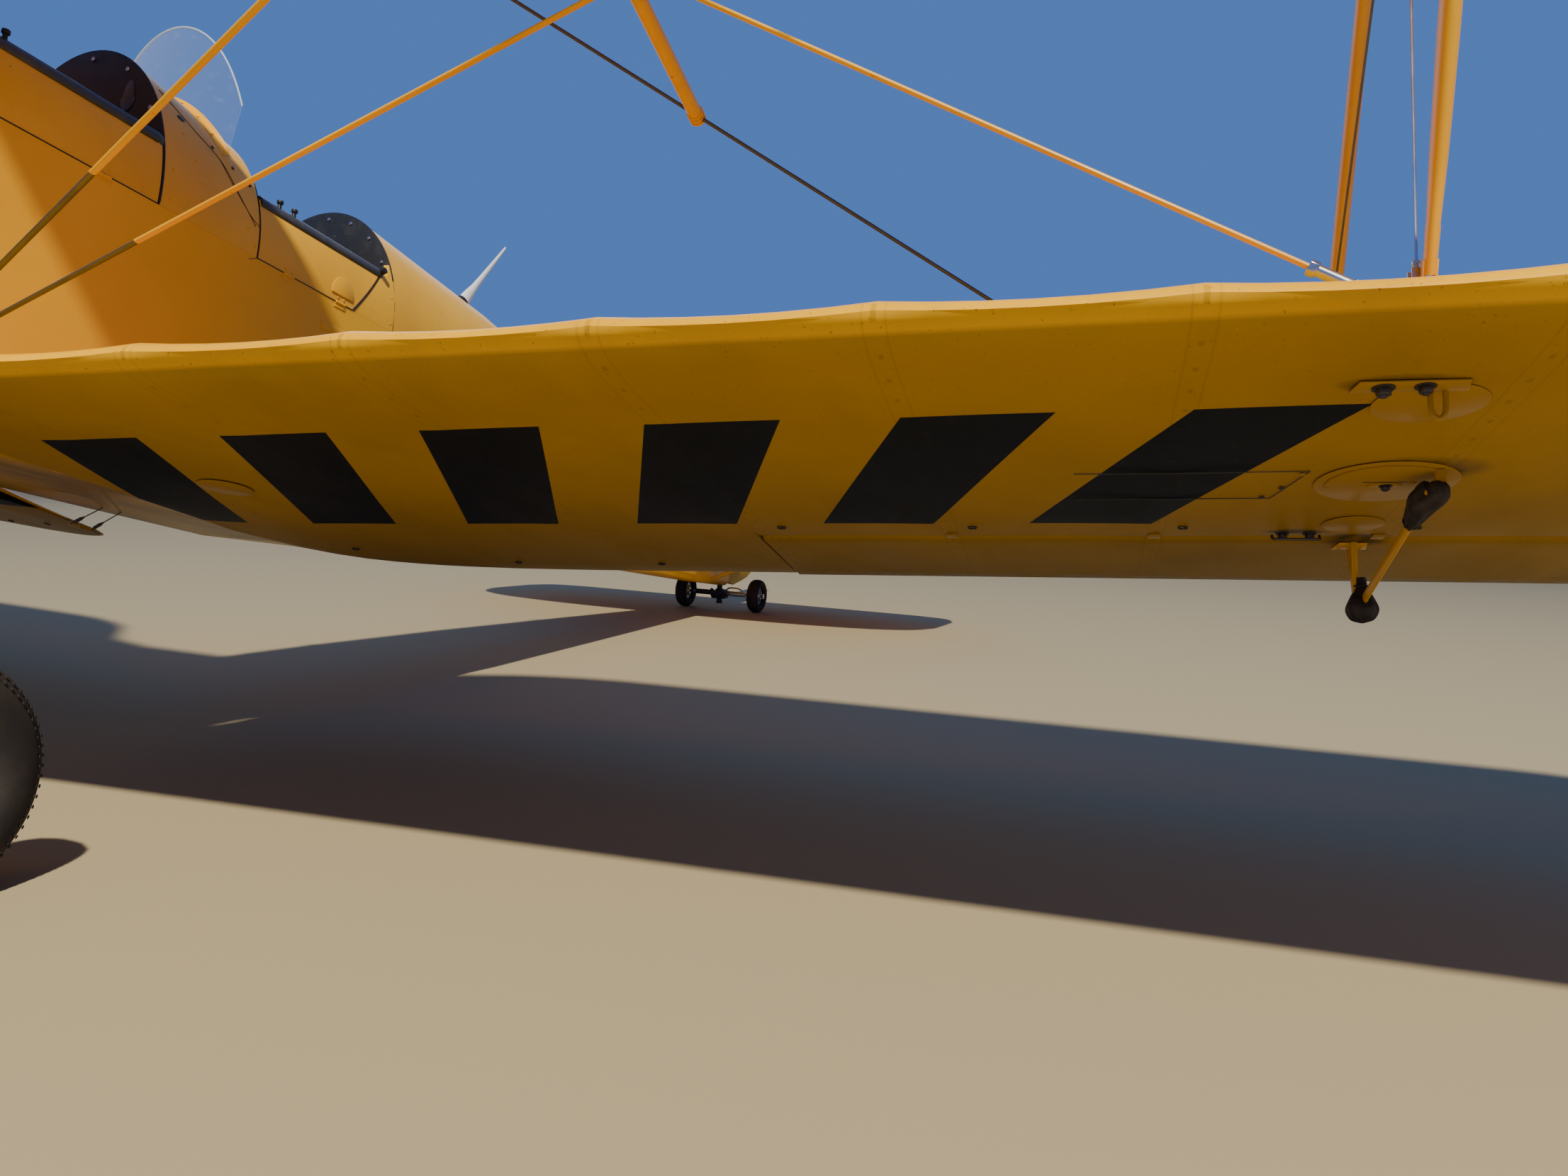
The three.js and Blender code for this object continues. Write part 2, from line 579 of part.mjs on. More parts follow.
const tailDeckCut = box([-FAR, FAR], [TAIL_DECK.from, FAR], [TAIL_DECK.above, FAR]);
const rearBody = join(hullBetween(FUSELAGE, REAR_JOINT, TAIL_END), shell.intersect(cheek));

// Tail surfaces: each loft is split at its hinge line
const tailOutline = [[0, 0], ...TAIL_SECTION, ...TAIL_SECTION.map(([c, n]) => [c, -n]).reverse()];
const tailRing = (x, lead, trail, half) => tailOutline.map(([c, n]) =>
  v3([x, lead + (trail - lead) * c, n * half]));
const tailPanel = (plan, thick) => loft(plan.map(([x, lead, trail, share]) =>
  tailRing(x, lead, trail, (share * thick) / 2)));

const level = new THREE.Matrix4().makeTranslation(0, 0, TAIL_UP);
const upright = new THREE.Matrix4().makeBasis(v3([0, 0, 1]), v3([0, 1, 0]), v3([-1, 0, 0]));
const tailLoft = tailPanel(TAILPLANE, TAIL_THICK);
const tailHalf = TAILPLANE.at(-1)[0];
const tailSpan = [-tailHalf - SWING, tailHalf + SWING];
const elevatorAxis = [ELEVATOR_AXIS, 0];
const tailplane = moved(cut(tailLoft, bay(elevatorAxis, NOSE_R, tailSpan, ELEVATOR_HINGES)), level);
add("tailplane", tailplane, MATERIALS.fabric);

const slotOutline = [
  [-ELEVATOR_SLOT.half, ELEVATOR_SLOT.front], [ELEVATOR_SLOT.half, ELEVATOR_SLOT.front],
  [ELEVATOR_SLOT.half, ELEVATOR_SLOT.wideFrom], [ELEVATOR_SLOT.rearHalf, ELEVATOR_SLOT.rear],
  [-ELEVATOR_SLOT.rearHalf, ELEVATOR_SLOT.rear], [-ELEVATOR_SLOT.half, ELEVATOR_SLOT.wideFrom],
];
const rudderSlot = loft([-TAIL_THICK, TAIL_THICK].map((z) => slotOutline.map(([x, y]) => v3([x, y, z]))));
const acrossTail = (half, radius, sides) =>
  rod([-half, ...elevatorAxis], [half, ...elevatorAxis], radius, sides);
const torqueTube = acrossTail(TORQUE_TUBE.half, TORQUE_TUBE.radius, 12);
const elevatorNose = acrossTail(ELEVATOR_NOSE_HALF, NOSE_R, NOSE_SIDES);
const elevator = join(
  cut(join(tailLoft.intersect(nose(elevatorAxis, NOSE_R, tailSpan)), elevatorNose), rudderSlot), torqueTube);
add("elevator", moved(elevator, level), MATERIALS.fabric);

const rudderAxis = [RUDDER_AXIS, 0];
const rudderSpan = [0, RUDDER.at(-1)[0] + SWING];
const rudderNose = rod([RUDDER_NOSE[0], ...rudderAxis], [RUDDER_NOSE[1], ...rudderAxis], NOSE_R, NOSE_SIDES);
const rudderPanel = tailPanel(RUDDER, RUDDER_THICK).intersect(nose(rudderAxis, NOSE_R, rudderSpan));
add("rudder", moved(join(rudderPanel, rudderNose), upright), MATERIALS.fabric);
const finLoft = cut(tailPanel(FIN, RUDDER_THICK), bay(rudderAxis, NOSE_R, rudderSpan, RUDDER_HINGES));
const overElevator = box([-FAR, FAR], [ELEVATOR_AXIS - NOSE_R - SWING, FAR], [0, TAIL_UP + NOSE_R + SWING]);
const fin = cut(seated(moved(finLoft, upright), tailplane, [0, 0, FIT]), overElevator, below(TAIL_UP));
add("fin", fin, MATERIALS.fabric);

// Rear fuselage, with the sternpost's two hinge lugs for the rudder
const lugs = RUDDER_LUG.ups.map((z) => box([-RUDDER_LUG.half, RUDDER_LUG.half],
  [TAIL_END - RUDDER_LUG.root, RUDDER_AXIS], [z - RUDDER_LUG.rise, z + RUDDER_LUG.rise]));
const [sweepFoot, sweepHead] = rudderSpan.map((z) => [0, RUDDER_AXIS, z]);
const rudderSweep = rod(sweepFoot, sweepHead, roundNose(NOSE_R, FIT), NOSE_SIDES);
const rearFuselage = cut(join(cut(rearBody, tailDeckCut), ...lugs), rudderSweep);
add("rear_fuselage", rearFuselage, MATERIALS.fabric);

const UNDER = [0, 0, -FIT];
const OVER = [0, 0, FIT];
const OUTBOARD = [FIT, 0, 0];
const tailStrut = strut(TAIL_STRUT.foot, TAIL_STRUT.head, TAIL_STRUT.chord, TAIL_STRUT.thick);
addPair("tail_strut", tailStrut, MATERIALS.paintwork,
  { on: [[tailplane, UNDER], [rearFuselage, OUTBOARD, UNDER]] });

// Struts between the wings and over the fuselage
for (const [name, [foot, head]] of Object.entries(INTERPLANE)) {
  const along = v3(head).sub(v3(foot)).normalize().multiplyScalar(STRUT_OVERRUN);
  const bar = strut(v3(foot).sub(along).toArray(), v3(head).add(along).toArray(), STRUT_CHORD, STRUT_THICK);
  addPair("interplane_strut_" + name, bar, MATERIALS.paintwork, {
    on: [[lowerWing, OVER], [upperWing, UNDER]],
    trim: [below(foot[2] - STRUT_TRIM.foot), above(head[2] + STRUT_TRIM.head)],
  });
}
const cabane = join(
  strut(CABANE.frontFoot, CABANE.frontTop, STRUT_CHORD, STRUT_THICK),
  strut(CABANE.rearFoot, CABANE.rearTop, STRUT_CHORD, STRUT_THICK),
  strut(CABANE.rearFoot, CABANE.frontTop, CABANE_BRACE.chord, CABANE_BRACE.thick),
);
addPair("cabane", cabane, MATERIALS.paintwork,
  { on: [[tank, UNDER], [scuttle, OUTBOARD, OVER]], trim: [below(CABANE.foot), above(CABANE.head)] });

// Wires: each pair leaves one anchor and spreads to the two spars
const besideStrut = ([x, y, z]) => [x - STRUT_THICK, y, z];
const wire = (from, to) => rod(from, to, WIRE, WIRE_SIDES, WIRE_LENGTHS);
const flying = join(
  wire(FLYING_ANCHOR, besideStrut(INTERPLANE.front[1])),
  wire(FLYING_ANCHOR, besideStrut(INTERPLANE.rear[1])),
  box(...FLYING_LUG),
);
addPair("flying_wires", flying, MATERIALS.steel,
  { on: [[lowerWing, OVER], [upperWing, UNDER]] });
const [barFront, barRear] = [v3(SPREADER.front), v3(SPREADER.rear)];
const barOver = barRear.clone().sub(barFront).setLength(SPREADER.over);
const offset = (point, way) => v3(point).add(v3(way)).toArray();
const landing = join(
  ...LANDING_FEET.map((foot) => wire(foot, LANDING_ANCHOR)),
  rod(barFront.sub(barOver).toArray(), barRear.add(barOver).toArray(), SPREADER.radius, 14),
  ...LANDING_FEET.map((foot) =>
    rod(offset(foot, LANDING_EYE.from), offset(foot, LANDING_EYE.to), LANDING_EYE.radius, 8)),
);
const insideRoots = box([-FAR, LANDING_ANCHOR[0] + LANDING_TRIM.out], [-FAR, FAR],
  [LANDING_ANCHOR[2] - LANDING_TRIM.under, FAR]);
addPair("landing_wires", landing, MATERIALS.steel,
  { on: [[lowerWing, OVER], [upperWing, UNDER], [tank, UNDER]], trim: [insideRoots] });

// Cowling with a hinged panel on each side, the engine and the propeller
const cowlShell = cut(hullBetween(COWL, NOSE_FRONT, FIREWALL - FIT),
  hullBetween(COWL, NOSE_FRONT + COWL_SKIN, FIREWALL - FIT - 1, COWL_SKIN),
  box([-COWL_MOUTH.half, COWL_MOUTH.half], [COWL_MOUTH.from, FIREWALL],
    [COWL_MOUTH.bottom, COWL_MOUTH.top]));
const sideHole = (grow) => [
  [COWL_DOOR.front - grow, COWL_DOOR.bottom - grow], [COWL_DOOR.rear + grow, COWL_DOOR.bottom - grow],
  [COWL_DOOR.rear + grow, COWL_DOOR.top + FIT], [COWL_DOOR.front - grow, COWL_DOOR.top + FIT],
];
const cowlHole = join(...[[-FAR, -COWL_SIDE], [COWL_SIDE, FAR]].map((x) => sidePrism(sideHole(SEAM), x)));
const shaftHole = rod([0, NOSE_HOLES[0], THRUST], [0, NOSE_HOLES[1], THRUST], SHAFT.radius + SHAFT.gap, 24);
const intakes = INTAKES.map(([inner, outer, bottom, top]) => box([inner, outer], NOSE_HOLES, [bottom, top]));
add("cowling", cut(cowlShell, cowlHole, shaftHole, ...intakes), MATERIALS.paintwork);
const cowlDoor = cowlShell.intersect(sidePrism(
  [[COWL_DOOR.front, COWL_DOOR.bottom], [COWL_DOOR.rear, COWL_DOOR.bottom],
    [COWL_DOOR.rear, COWL_DOOR.top], [COWL_DOOR.front, COWL_DOOR.top]], [COWL_SIDE, FAR]));
addPair("cowl_door", cowlDoor, MATERIALS.paintwork);
add("engine", box([-ENGINE.half, ENGINE.half], [ENGINE.front, FIREWALL - FIT], [ENGINE.bottom, ENGINE.top]),
  MATERIALS.steel);

const bladeRing = ([r, chord, thick]) => {
  const pitch = Math.min(rad(PROP.coarsest), Math.atan(PROP.pitch / (2 * Math.PI * r)));
  return Array.from({ length: PROP.steps }, (_, i) => {
    const turn = (i / PROP.steps) * 2 * Math.PI;
    const [c, n] = [(Math.cos(turn) * chord) / 2, (Math.sin(turn) * thick) / 2];
    return v3([r, c * Math.sin(pitch) + n * Math.cos(pitch), c * Math.cos(pitch) - n * Math.sin(pitch)]);
  });
};
const blade = loft(BLADE.map(bladeRing));
const parked = new THREE.Matrix4().makeRotationY(-rad(PROP.park)).setPosition(0, PROP.plane, THRUST);
const halfTurn = new THREE.Matrix4().makeRotationY(Math.PI);
const boss = rod([0, -PROP.thick / 2, 0], [0, PROP.thick / 2, 0], PROP.boss, 24);
const bossRear = PROP.plane + PROP.thick / 2;
add("propeller", moved(join(blade, moved(blade, halfTurn), boss), parked), MATERIALS.wood);
const flangeRear = bossRear + SHAFT.flangeThick;
add("propeller_shaft", join(
  rod([0, ENGINE.front - FIT, THRUST], [0, flangeRear, THRUST], SHAFT.radius, 20),
  rod([0, flangeRear + FIT, THRUST], [0, bossRear + FIT, THRUST], SHAFT.flange, 24)), MATERIALS.steel);
const [pipeTop, pipeKnee, pipeEnd] = EXHAUST.points;
const exhaust = join(
  rod(pipeTop, pipeKnee, EXHAUST.radius, 12),
  rod(pipeKnee, pipeEnd, EXHAUST.radius, 12),
  ...EXHAUST_HANGERS.map((hanger) => box(...hanger)),
);
const hullOuter = hullBetween(FUSELAGE, FIREWALL, REAR_JOINT);
const cowlOuter = hullBetween(COWL, NOSE_FRONT, FIREWALL);
add("exhaust_pipe", seated(seated(exhaust, hullOuter, UNDER), cowlOuter, UNDER), MATERIALS.steel);

// Windscreens: a curved sheet standing on the decking, wrapped round in plan
function screen(y, half, foot, height) {
  const wrap = rad(SCREEN.wrap);
  const arc = (grow) => Array.from({ length: SCREEN.steps + 1 }, (_, i) => {
    const turn = ((2 * i) / SCREEN.steps - 1) * wrap;
    return [((half + grow) * Math.sin(turn)) / Math.sin(wrap), y + SCREEN.bow * (1 - Math.cos(turn)) - grow];
  });
  const ring = (z) => [...arc(0), ...arc(SCREEN.thick).reverse()].map(([x, a]) =>
    v3([x, a + (z - foot) * SCREEN.lean, z]));
  const sheet = loft([ring(foot - SCREEN.buried), ring(foot + height)]);
  const top = new THREE.Shape();
  top.absellipse(0, foot - SCREEN.buried, half + SCREEN.wider, height + SCREEN.buried, 0, Math.PI);
  const mould = new THREE.ExtrudeGeometry(top, { depth: FAR, bevelEnabled: false, curveSegments: 20 });
  const basis = new THREE.Matrix4().makeBasis(v3([1, 0, 0]), v3([0, 0, 1]), v3([0, -1, 0]));
  return sheet.intersect(solid(mould, basis.setPosition(0, FAR / 2, 0)));
}
for (const [name, y, half, foot, height, end] of SCREENS) {
  const sheet = seated(screen(y, half, foot, height), name === "front" ? scuttle : hump, OVER, [0, -FIT, 0]);
  add("windscreen_" + name, cut(sheet, box([-FAR, FAR], [end - 1, FAR], [0, FAR])), MATERIALS.glass);
}

// Seats: a pan on two side boards that stand on the cockpit floor, with a back
for (const [name, y] of SEATS) {
  const half = SEAT.width / 2;
  const whole = [-half, half];
  const depth = [y, y + SEAT.depth];
  const boardHeight = [BELLY + WALL + FIT, SEAT.pan + SEAT.arm];
  add("seat_" + name, join(
    box(whole, depth, [SEAT.pan, SEAT.pan + SEAT.thick]),
    box(whole, [depth[1] - SEAT.thick, depth[1]], [SEAT.pan, SEAT.pan + SEAT.back]),
    box([-half, -half + SEAT.thick], depth, boardHeight),
    box([half - SEAT.thick, half], depth, boardHeight),
  ), MATERIALS.leather);
}

// Whip aerial on the rear decking
const aerial = loft(AERIAL.map(([up, r]) => Array.from({ length: AERIAL_FOOT.sides }, (_, i) => {
  const turn = (i / AERIAL_FOOT.sides) * 2 * Math.PI;
  const aft = AERIAL_FOOT.aft + up * AERIAL_FOOT.rake + AERIAL_FOOT.oval * r * Math.sin(turn);
  return v3([r * Math.cos(turn), aft, AERIAL_FOOT.up + up * AERIAL_FOOT.rise]);
})));
add("aerial", seated(aerial, rearFuselage, OVER), MATERIALS.white);

// Undercarriage: a sprung leg, a radius rod and a half axle meet at each wheel
const hubInner = WHEEL.x - GEAR_INSET.hub;
const atWheel = (x, rise = 0) => fromGround([x, WHEEL.y, WHEEL.radius + rise]);
const axleKnee = atWheel(hubInner - GEAR_INSET.knee);
const legFoot = atWheel(hubInner - GEAR_INSET.leg, GEAR_INSET.legRise);
const [rootX, rootY, rootZ] = HALF_AXLE.root;
const gear = join(
  rod(axleKnee, atWheel(WHEEL.x + GEAR_INSET.axleEnd), WHEEL.axle, 16),
  rod(axleKnee, HALF_AXLE.root, HALF_AXLE.radius, 12),
  strut(legFoot, LEG.top, LEG.chord, LEG.thick),
  rod(legFoot, RADIUS_ROD.top, RADIUS_ROD.radius, 10),
  rod([rootX, rootY, rootZ], [rootX, rootY, HALF_AXLE.postTop], HALF_AXLE.post, 12),
  rod(axleKnee, atWheel(hubInner - GEAR_INSET.collar), GEAR_INSET.collarRadius, 16),
);
addPair("undercarriage", gear, MATERIALS.paintwork,
  { on: [[hullOuter, UNDER]], trim: [inboardOf(FIT), above(BELLY)] });
function tyre(wheel, place) {
  const wall = wheel.radius - wheel.rim;
  const ring = TYRE.map(([across, out]) => [(across * wheel.width) / 2, wheel.rim + out * wall]);
  return turned([...ring, ring[0]], wheel.facets, place);
}
// A hub's profile is given for one side; the other is its mirror image
function hub(wheel, half, place) {
  const ring = [...half.map(([along, r]) => [-along, r]), ...half.toReversed()];
  return turned([...ring, ring[0]], wheel.facets, place);
}
const wheelPlace = [WHEEL.x, WHEEL.y, WHEEL.radius];
addPair("tyre", tyre(WHEEL, wheelPlace), MATERIALS.rubber, { parent: ground });
const rimEdge = WHEEL.rim - FIT;
const wheelHub = hub(WHEEL, [[HUB.half, WHEEL.bore], [HUB.half, HUB.boss],
  [HUB.rimHalf, rimEdge - HUB.bevel], [HUB.rimHalf, rimEdge]], wheelPlace);
addPair("wheel_hub", wheelHub, MATERIALS.paintwork, { parent: ground });

// Tail skid held in the clamp of the dolly
const skidPost = (from, radius) => rod([0, SKID.y, from], [0, SKID.y, SKID.head], radius, 14);
const toMachine = new THREE.Matrix4().makeRotationX(rad(NOSE_UP))
  .multiply(new THREE.Matrix4().makeTranslation(0, 0, -ROOT_HEIGHT));
const skid = moved(skidPost(SKID.foot, SKID.radius), toMachine);
add("tail_skid", seated(skid, rearFuselage, UNDER).intersect(below(SKID.trim)), MATERIALS.steel);
const wheelHalf = DOLLY.track / 2;
const axleHalf = wheelHalf + DOLLY.width / 2 + DOLLY_TUBE.axleOver;
const tubeHalf = wheelHalf - DOLLY_TUBE.inset;
const dollyRod = (half, radius) =>
  rod([-half, DOLLY.y, DOLLY.radius], [half, DOLLY.y, DOLLY.radius], radius, 12);
const dolly = cut(join(
  dollyRod(axleHalf, DOLLY.axle),
  dollyRod(tubeHalf, DOLLY_TUBE.radius),
  box([-DOLLY_CLAMP.half, DOLLY_CLAMP.half], [SKID.y - DOLLY_CLAMP.ahead, DOLLY.y + DOLLY_CLAMP.behind],
    [DOLLY_CLAMP.bottom, DOLLY_CLAMP.top]),
), skidPost(0, SKID.radius + FIT));
add("dolly_frame", dolly, MATERIALS.dollySteel, ground);
const dollyPlace = [wheelHalf, DOLLY.y, DOLLY.radius];
const dollyHub = hub(DOLLY, [[DOLLY_HUB.half, DOLLY.bore], [DOLLY_HUB.half, DOLLY_HUB.boss],
  [DOLLY_HUB.rimHalf, DOLLY.rim + DOLLY_HUB.into]], dollyPlace);
addPair("dolly_wheel", join(tyre(DOLLY, dollyPlace), dollyHub), MATERIALS.rubber, { parent: ground });

export default group;
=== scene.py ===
"""A two-seat training biplane with open cockpits, parked with its tail on a small wheeled dolly.

Every piece is in metres, in the frame of the solid model: +X to port, +Y aft, +Z up. The aircraft's own axes, in
which its drawings are made, are x to port, y aft and z up from the root of the lower wing's leading edge, and the
aircraft stands nose up on the ground.
"""

from math import asin, atan, atan2, cos, exp, pi, radians, sin, sqrt, tan

import bmesh
import bpy
import numpy as np
from mathutils import Matrix, Vector


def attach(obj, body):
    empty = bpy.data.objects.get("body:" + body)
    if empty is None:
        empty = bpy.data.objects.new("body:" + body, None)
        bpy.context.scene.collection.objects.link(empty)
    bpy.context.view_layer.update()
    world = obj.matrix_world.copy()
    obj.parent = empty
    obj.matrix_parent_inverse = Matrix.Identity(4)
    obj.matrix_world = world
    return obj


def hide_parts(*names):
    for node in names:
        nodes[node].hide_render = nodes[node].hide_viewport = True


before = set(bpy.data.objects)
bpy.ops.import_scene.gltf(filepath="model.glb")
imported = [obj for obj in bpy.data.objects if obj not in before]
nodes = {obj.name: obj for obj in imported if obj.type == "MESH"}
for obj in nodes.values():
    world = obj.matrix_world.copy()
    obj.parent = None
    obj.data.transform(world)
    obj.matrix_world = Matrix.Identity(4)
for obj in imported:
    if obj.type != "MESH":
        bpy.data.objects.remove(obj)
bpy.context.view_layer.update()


# The view. The photograph looks aft from two metres outboard of the port main wheel, at waist height, under the
# lower wing. Its long side is the width, so the focal length follows from pixels over that side.
PHOTO_WIDE = 2212
FOCAL_PIXELS = 1579.7
VIEW_YAW, VIEW_PITCH, VIEW_ROLL = (radians(a) for a in (20.725, 5.233, -2.782))
ahead = Vector((-sin(VIEW_YAW) * cos(VIEW_PITCH), cos(VIEW_YAW) * cos(VIEW_PITCH), -sin(VIEW_PITCH)))
level = Vector((cos(VIEW_YAW), sin(VIEW_YAW), 0))
down = ahead.cross(level)
right = cos(VIEW_ROLL) * level + sin(VIEW_ROLL) * down
below = -sin(VIEW_ROLL) * level + cos(VIEW_ROLL) * down
camera = bpy.data.objects.new("camera", bpy.data.cameras.new("camera"))
camera.data.sensor_width = 36
camera.data.lens = FOCAL_PIXELS / PHOTO_WIDE * camera.data.sensor_width
camera.data.clip_start = 0.05
camera.data.clip_end = 500
camera.matrix_world = Matrix.Translation((2.7903, -3.4153, 0.7779)) @ Matrix(
    (right, -below, -ahead)).transposed().to_4x4()
link = bpy.context.scene.collection.objects.link
link(camera)
bpy.context.scene.camera = camera


# Shader maths. A Wire is a socket that plain Python sums can be written with; a Finish is a material whose
# principled shader takes its values and wires by name.
class Wire:
    def __init__(self, tree, socket):
        self.tree = tree
        self.socket = socket

    def math(self, operation, *others, clamp=False):
        node = self.tree.nodes.new("ShaderNodeMath")
        node.operation = operation
        node.use_clamp = clamp
        for target, value in zip(node.inputs, (self, *others)):
            feed(self.tree, target, value)
        return Wire(self.tree, node.outputs[0])

    def __add__(self, other):
        return self.math("ADD", other)

    __radd__ = __add__

    def __mul__(self, other):
        return self.math("MULTIPLY", other)

    __rmul__ = __mul__

    def __sub__(self, other):
        return self.math("SUBTRACT", other)

    def __rsub__(self, other):
        return (self * -1) + other

    def __truediv__(self, other):
        return self.math("DIVIDE", other)

    def __pow__(self, other):
        return self.math("POWER", other)

    def __abs__(self):
        return self.math("ABSOLUTE")

    def near(self, width, soft=0.0006):
        """1 where the value is within width of nought, fading out over soft."""
        return ((width + soft) - abs(self)).math("DIVIDE", soft, clamp=True)

    def over(self, edge, soft=0.001):
        """1 where the value is over the edge, fading in over soft."""
        return (self - edge).math("DIVIDE", soft, clamp=True)

    def beyond(self, level, gain):
        """0 up to a level, then growing by the gain to 1 at most."""
        return (self - level).math("MULTIPLY", gain, clamp=True)

    def wave(self, pitch, start=0.0):
        """Distance to the nearest of the lines that stand a pitch apart from a start."""
        return ((self - (start - pitch / 2)).math("FLOORED_MODULO", pitch)) - pitch / 2


def feed(tree, target, value):
    if isinstance(value, Wire):
        tree.links.new(value.socket, target)
    elif isinstance(value, (tuple, list)) and len(value) == 3 and target.type == "RGBA":
        target.default_value = (*value, 1)
    else:
        target.default_value = value


class Finish:
    def __init__(self, name, colour, roughness=0.5, metallic=0.0, **settings):
        self.material = bpy.data.materials.new(name)
        self.material.use_nodes = True
        self.tree = self.material.node_tree
        self.shader = self.tree.nodes["Principled BSDF"]
        self.set(base_color=colour, roughness=roughness, metallic=metallic, **settings)

    def set(self, **sockets):
        for name, value in sockets.items():
            title = name.replace("_", " ").title().replace("Ior", "IOR")
            feed(self.tree, self.shader.inputs[title], value)
        return self

    def node(self, kind, settings=None, inputs=None, output=0):
        node = self.tree.nodes.new("ShaderNode" + kind)
        for key, value in (settings or {}).items():
            setattr(node, key, value)
        for key, value in (inputs or {}).items():
            feed(self.tree, node.inputs[key], value)
        return Wire(self.tree, node.outputs[output])

    def place(self, output="Object", turn=0.0):
        """The x, y and z of a point on the piece, or on its own map, turned about x if asked."""
        at = self.node("TexCoord", output=output)
        if turn:
            at = self.node("Mapping", inputs={"Vector": at, "Rotation": (turn, 0, 0)})
        apart = self.node("SeparateXYZ", inputs={0: at})
        return at, *(Wire(self.tree, apart.socket.node.outputs[i]) for i in range(3))

    def noise(self, at, scale, detail=3.0, stretch=None):
        if stretch:
            at = self.node("Mapping", inputs={"Vector": at, "Scale": stretch})
        return self.node("TexNoise", inputs={"Vector": at, "Scale": scale, "Detail": detail})

    def mix(self, factor, first, second):
        return self.node("Mix", {"data_type": "RGBA"}, {"Factor": factor, 6: first, 7: second}, output=2)

    def bump(self, height, distance=0.001, strength=1.0):
        self.set(normal=self.node("Bump", inputs={"Height": height, "Distance": distance, "Strength": strength}))
        return self.material


# Ground and light. A pale, warm floor stands in for dry grass. One strong lamp is the sun, high ahead and a little
# to port, so that the undersides are in shade and are lit from the ground; a wide, weak one fills from behind.
floor_mesh = bmesh.new()
bmesh.ops.create_grid(floor_mesh, x_segments=1, y_segments=1, size=60)
floor_data = bpy.data.meshes.new("floor")
floor_mesh.to_mesh(floor_data)
floor_mesh.free()
floor = bpy.data.objects.new("floor", floor_data)
floor_data.materials.append(Finish("pale_floor", (0.385, 0.312, 0.175), 0.95, specular_ior_level=0.1).material)
link(floor)
world = bpy.data.worlds.new("studio")
world.use_nodes = True
world.node_tree.nodes["Background"].inputs["Color"].default_value = (0.08, 0.19, 0.53, 1)
world.node_tree.nodes["Background"].inputs["Strength"].default_value = 1.0
bpy.context.scene.world = world
LAMPS = (("sun", (7, -14, 23), 0.8, 11500, (1, 0.94, 0.82)), ("fill", (-9, 12, 6), 9, 260, (0.9, 0.94, 1)))
for lamp_name, at, size, power, colour in LAMPS:
    lamp = bpy.data.objects.new(lamp_name, bpy.data.lights.new(lamp_name, "AREA"))
    lamp.data.size = size
    lamp.data.energy = power
    lamp.data.color = colour
    lamp.location = at
    lamp.rotation_mode = "QUATERNION"
    lamp.rotation_quaternion = (Vector((1, -1, 1)) - Vector(at)).to_track_quat("-Z", "Y")
    link(lamp)


# Wings. Wooden spars and ribs under doped cloth: the skin sags a little between the ribs, the leading edge is
# scalloped, and every rib carries a sewn tape. The upper and lower panels differ in plan and setting only.
NOSE_UP = radians(12.6)
ROOT_HEIGHT = 0.906
MIDDLE_AFT = 2.105
AIRCRAFT = Matrix.Translation((0, -MIDDLE_AFT, ROOT_HEIGHT)) @ Matrix.Rotation(-NOSE_UP, 4, "X")
CHORD = 1.33
ROOT_X = 0.35
RIB_PITCH = 0.4224
RIB_START = 0.65
NOSE_RISE = 0.03
SAG = 0.0022
# Columns: leading edge aft and up from the datum, then sweep, dihedral, incidence and toe in degrees
WING_SETTING = {"lower": (0, 0, 4.04, 4.24, 5.97, 4.76), "upper": (-0.629, 1.522, 3.98, 2.61, 5.98, 0)}
# Columns: place along the chord, top and bottom above the flat underside, all in chords
SECTION = ((0, 0.03, 0.03), (0.0125, 0.046, 0.015), (0.04, 0.058, 0.006), (0.1, 0.069, 0.001), (0.2, 0.0755, 0),
           (0.32, 0.0765, 0), (0.45, 0.073, 0), (0.6, 0.063, 0), (0.75, 0.047, 0), (0.88, 0.0275, 0),
           (0.98, 0.0155, 0), (1.07, 0.004, 0))
LAST_PLACE = SECTION[-1][0]
# Columns: station, leading and trailing edge in chords, share of the full thickness
WING_PLAN = {
    "lower": ((0.25, 0, 0.6, 1), (0.33, 0, 0.66, 1), (0.39, 0, 0.735, 1), (0.47, 0, 0.865, 1), (0.55, 0, 0.94, 1),
              (0.64, 0, 0.99, 1), (0.8, 0, 1.035, 1), (1.04, 0, 1.06, 1), (1.5, 0, 1.07, 1), (3.9, 0, 1.07, 1),
              (4.15, 0.015, 1.05, 0.95), (4.3, 0.06, 0.99, 0.8), (4.4, 0.14, 0.89, 0.6), (4.46, 0.27, 0.73, 0.3)),
    "upper": ((0.3, 0, 0.74, 1), (0.65, 0, 0.78, 1), (0.8, 0, 0.88, 1), (0.95, 0, 0.98, 1), (1.15, 0, 1.045, 1),
              (1.4, 0, 1.07, 1), (3.95, 0, 1.07, 1), (4.18, 0.015, 1.05, 0.95), (4.32, 0.06, 0.99, 0.8),
              (4.41, 0.14, 0.89, 0.6), (4.47, 0.27, 0.73, 0.3)),
}
AILERON_SPAN = (1.89, 4.13)
HINGE_PLACE, HINGE_DEPTH = 0.805, 0.0385
AILERON_AXIS = (HINGE_PLACE * CHORD, (HINGE_DEPTH / 2 - NOSE_RISE * (1 - HINGE_PLACE)) * CHORD)
AILERON_NOSE = 0.0255
AILERON_GAP = 0.006


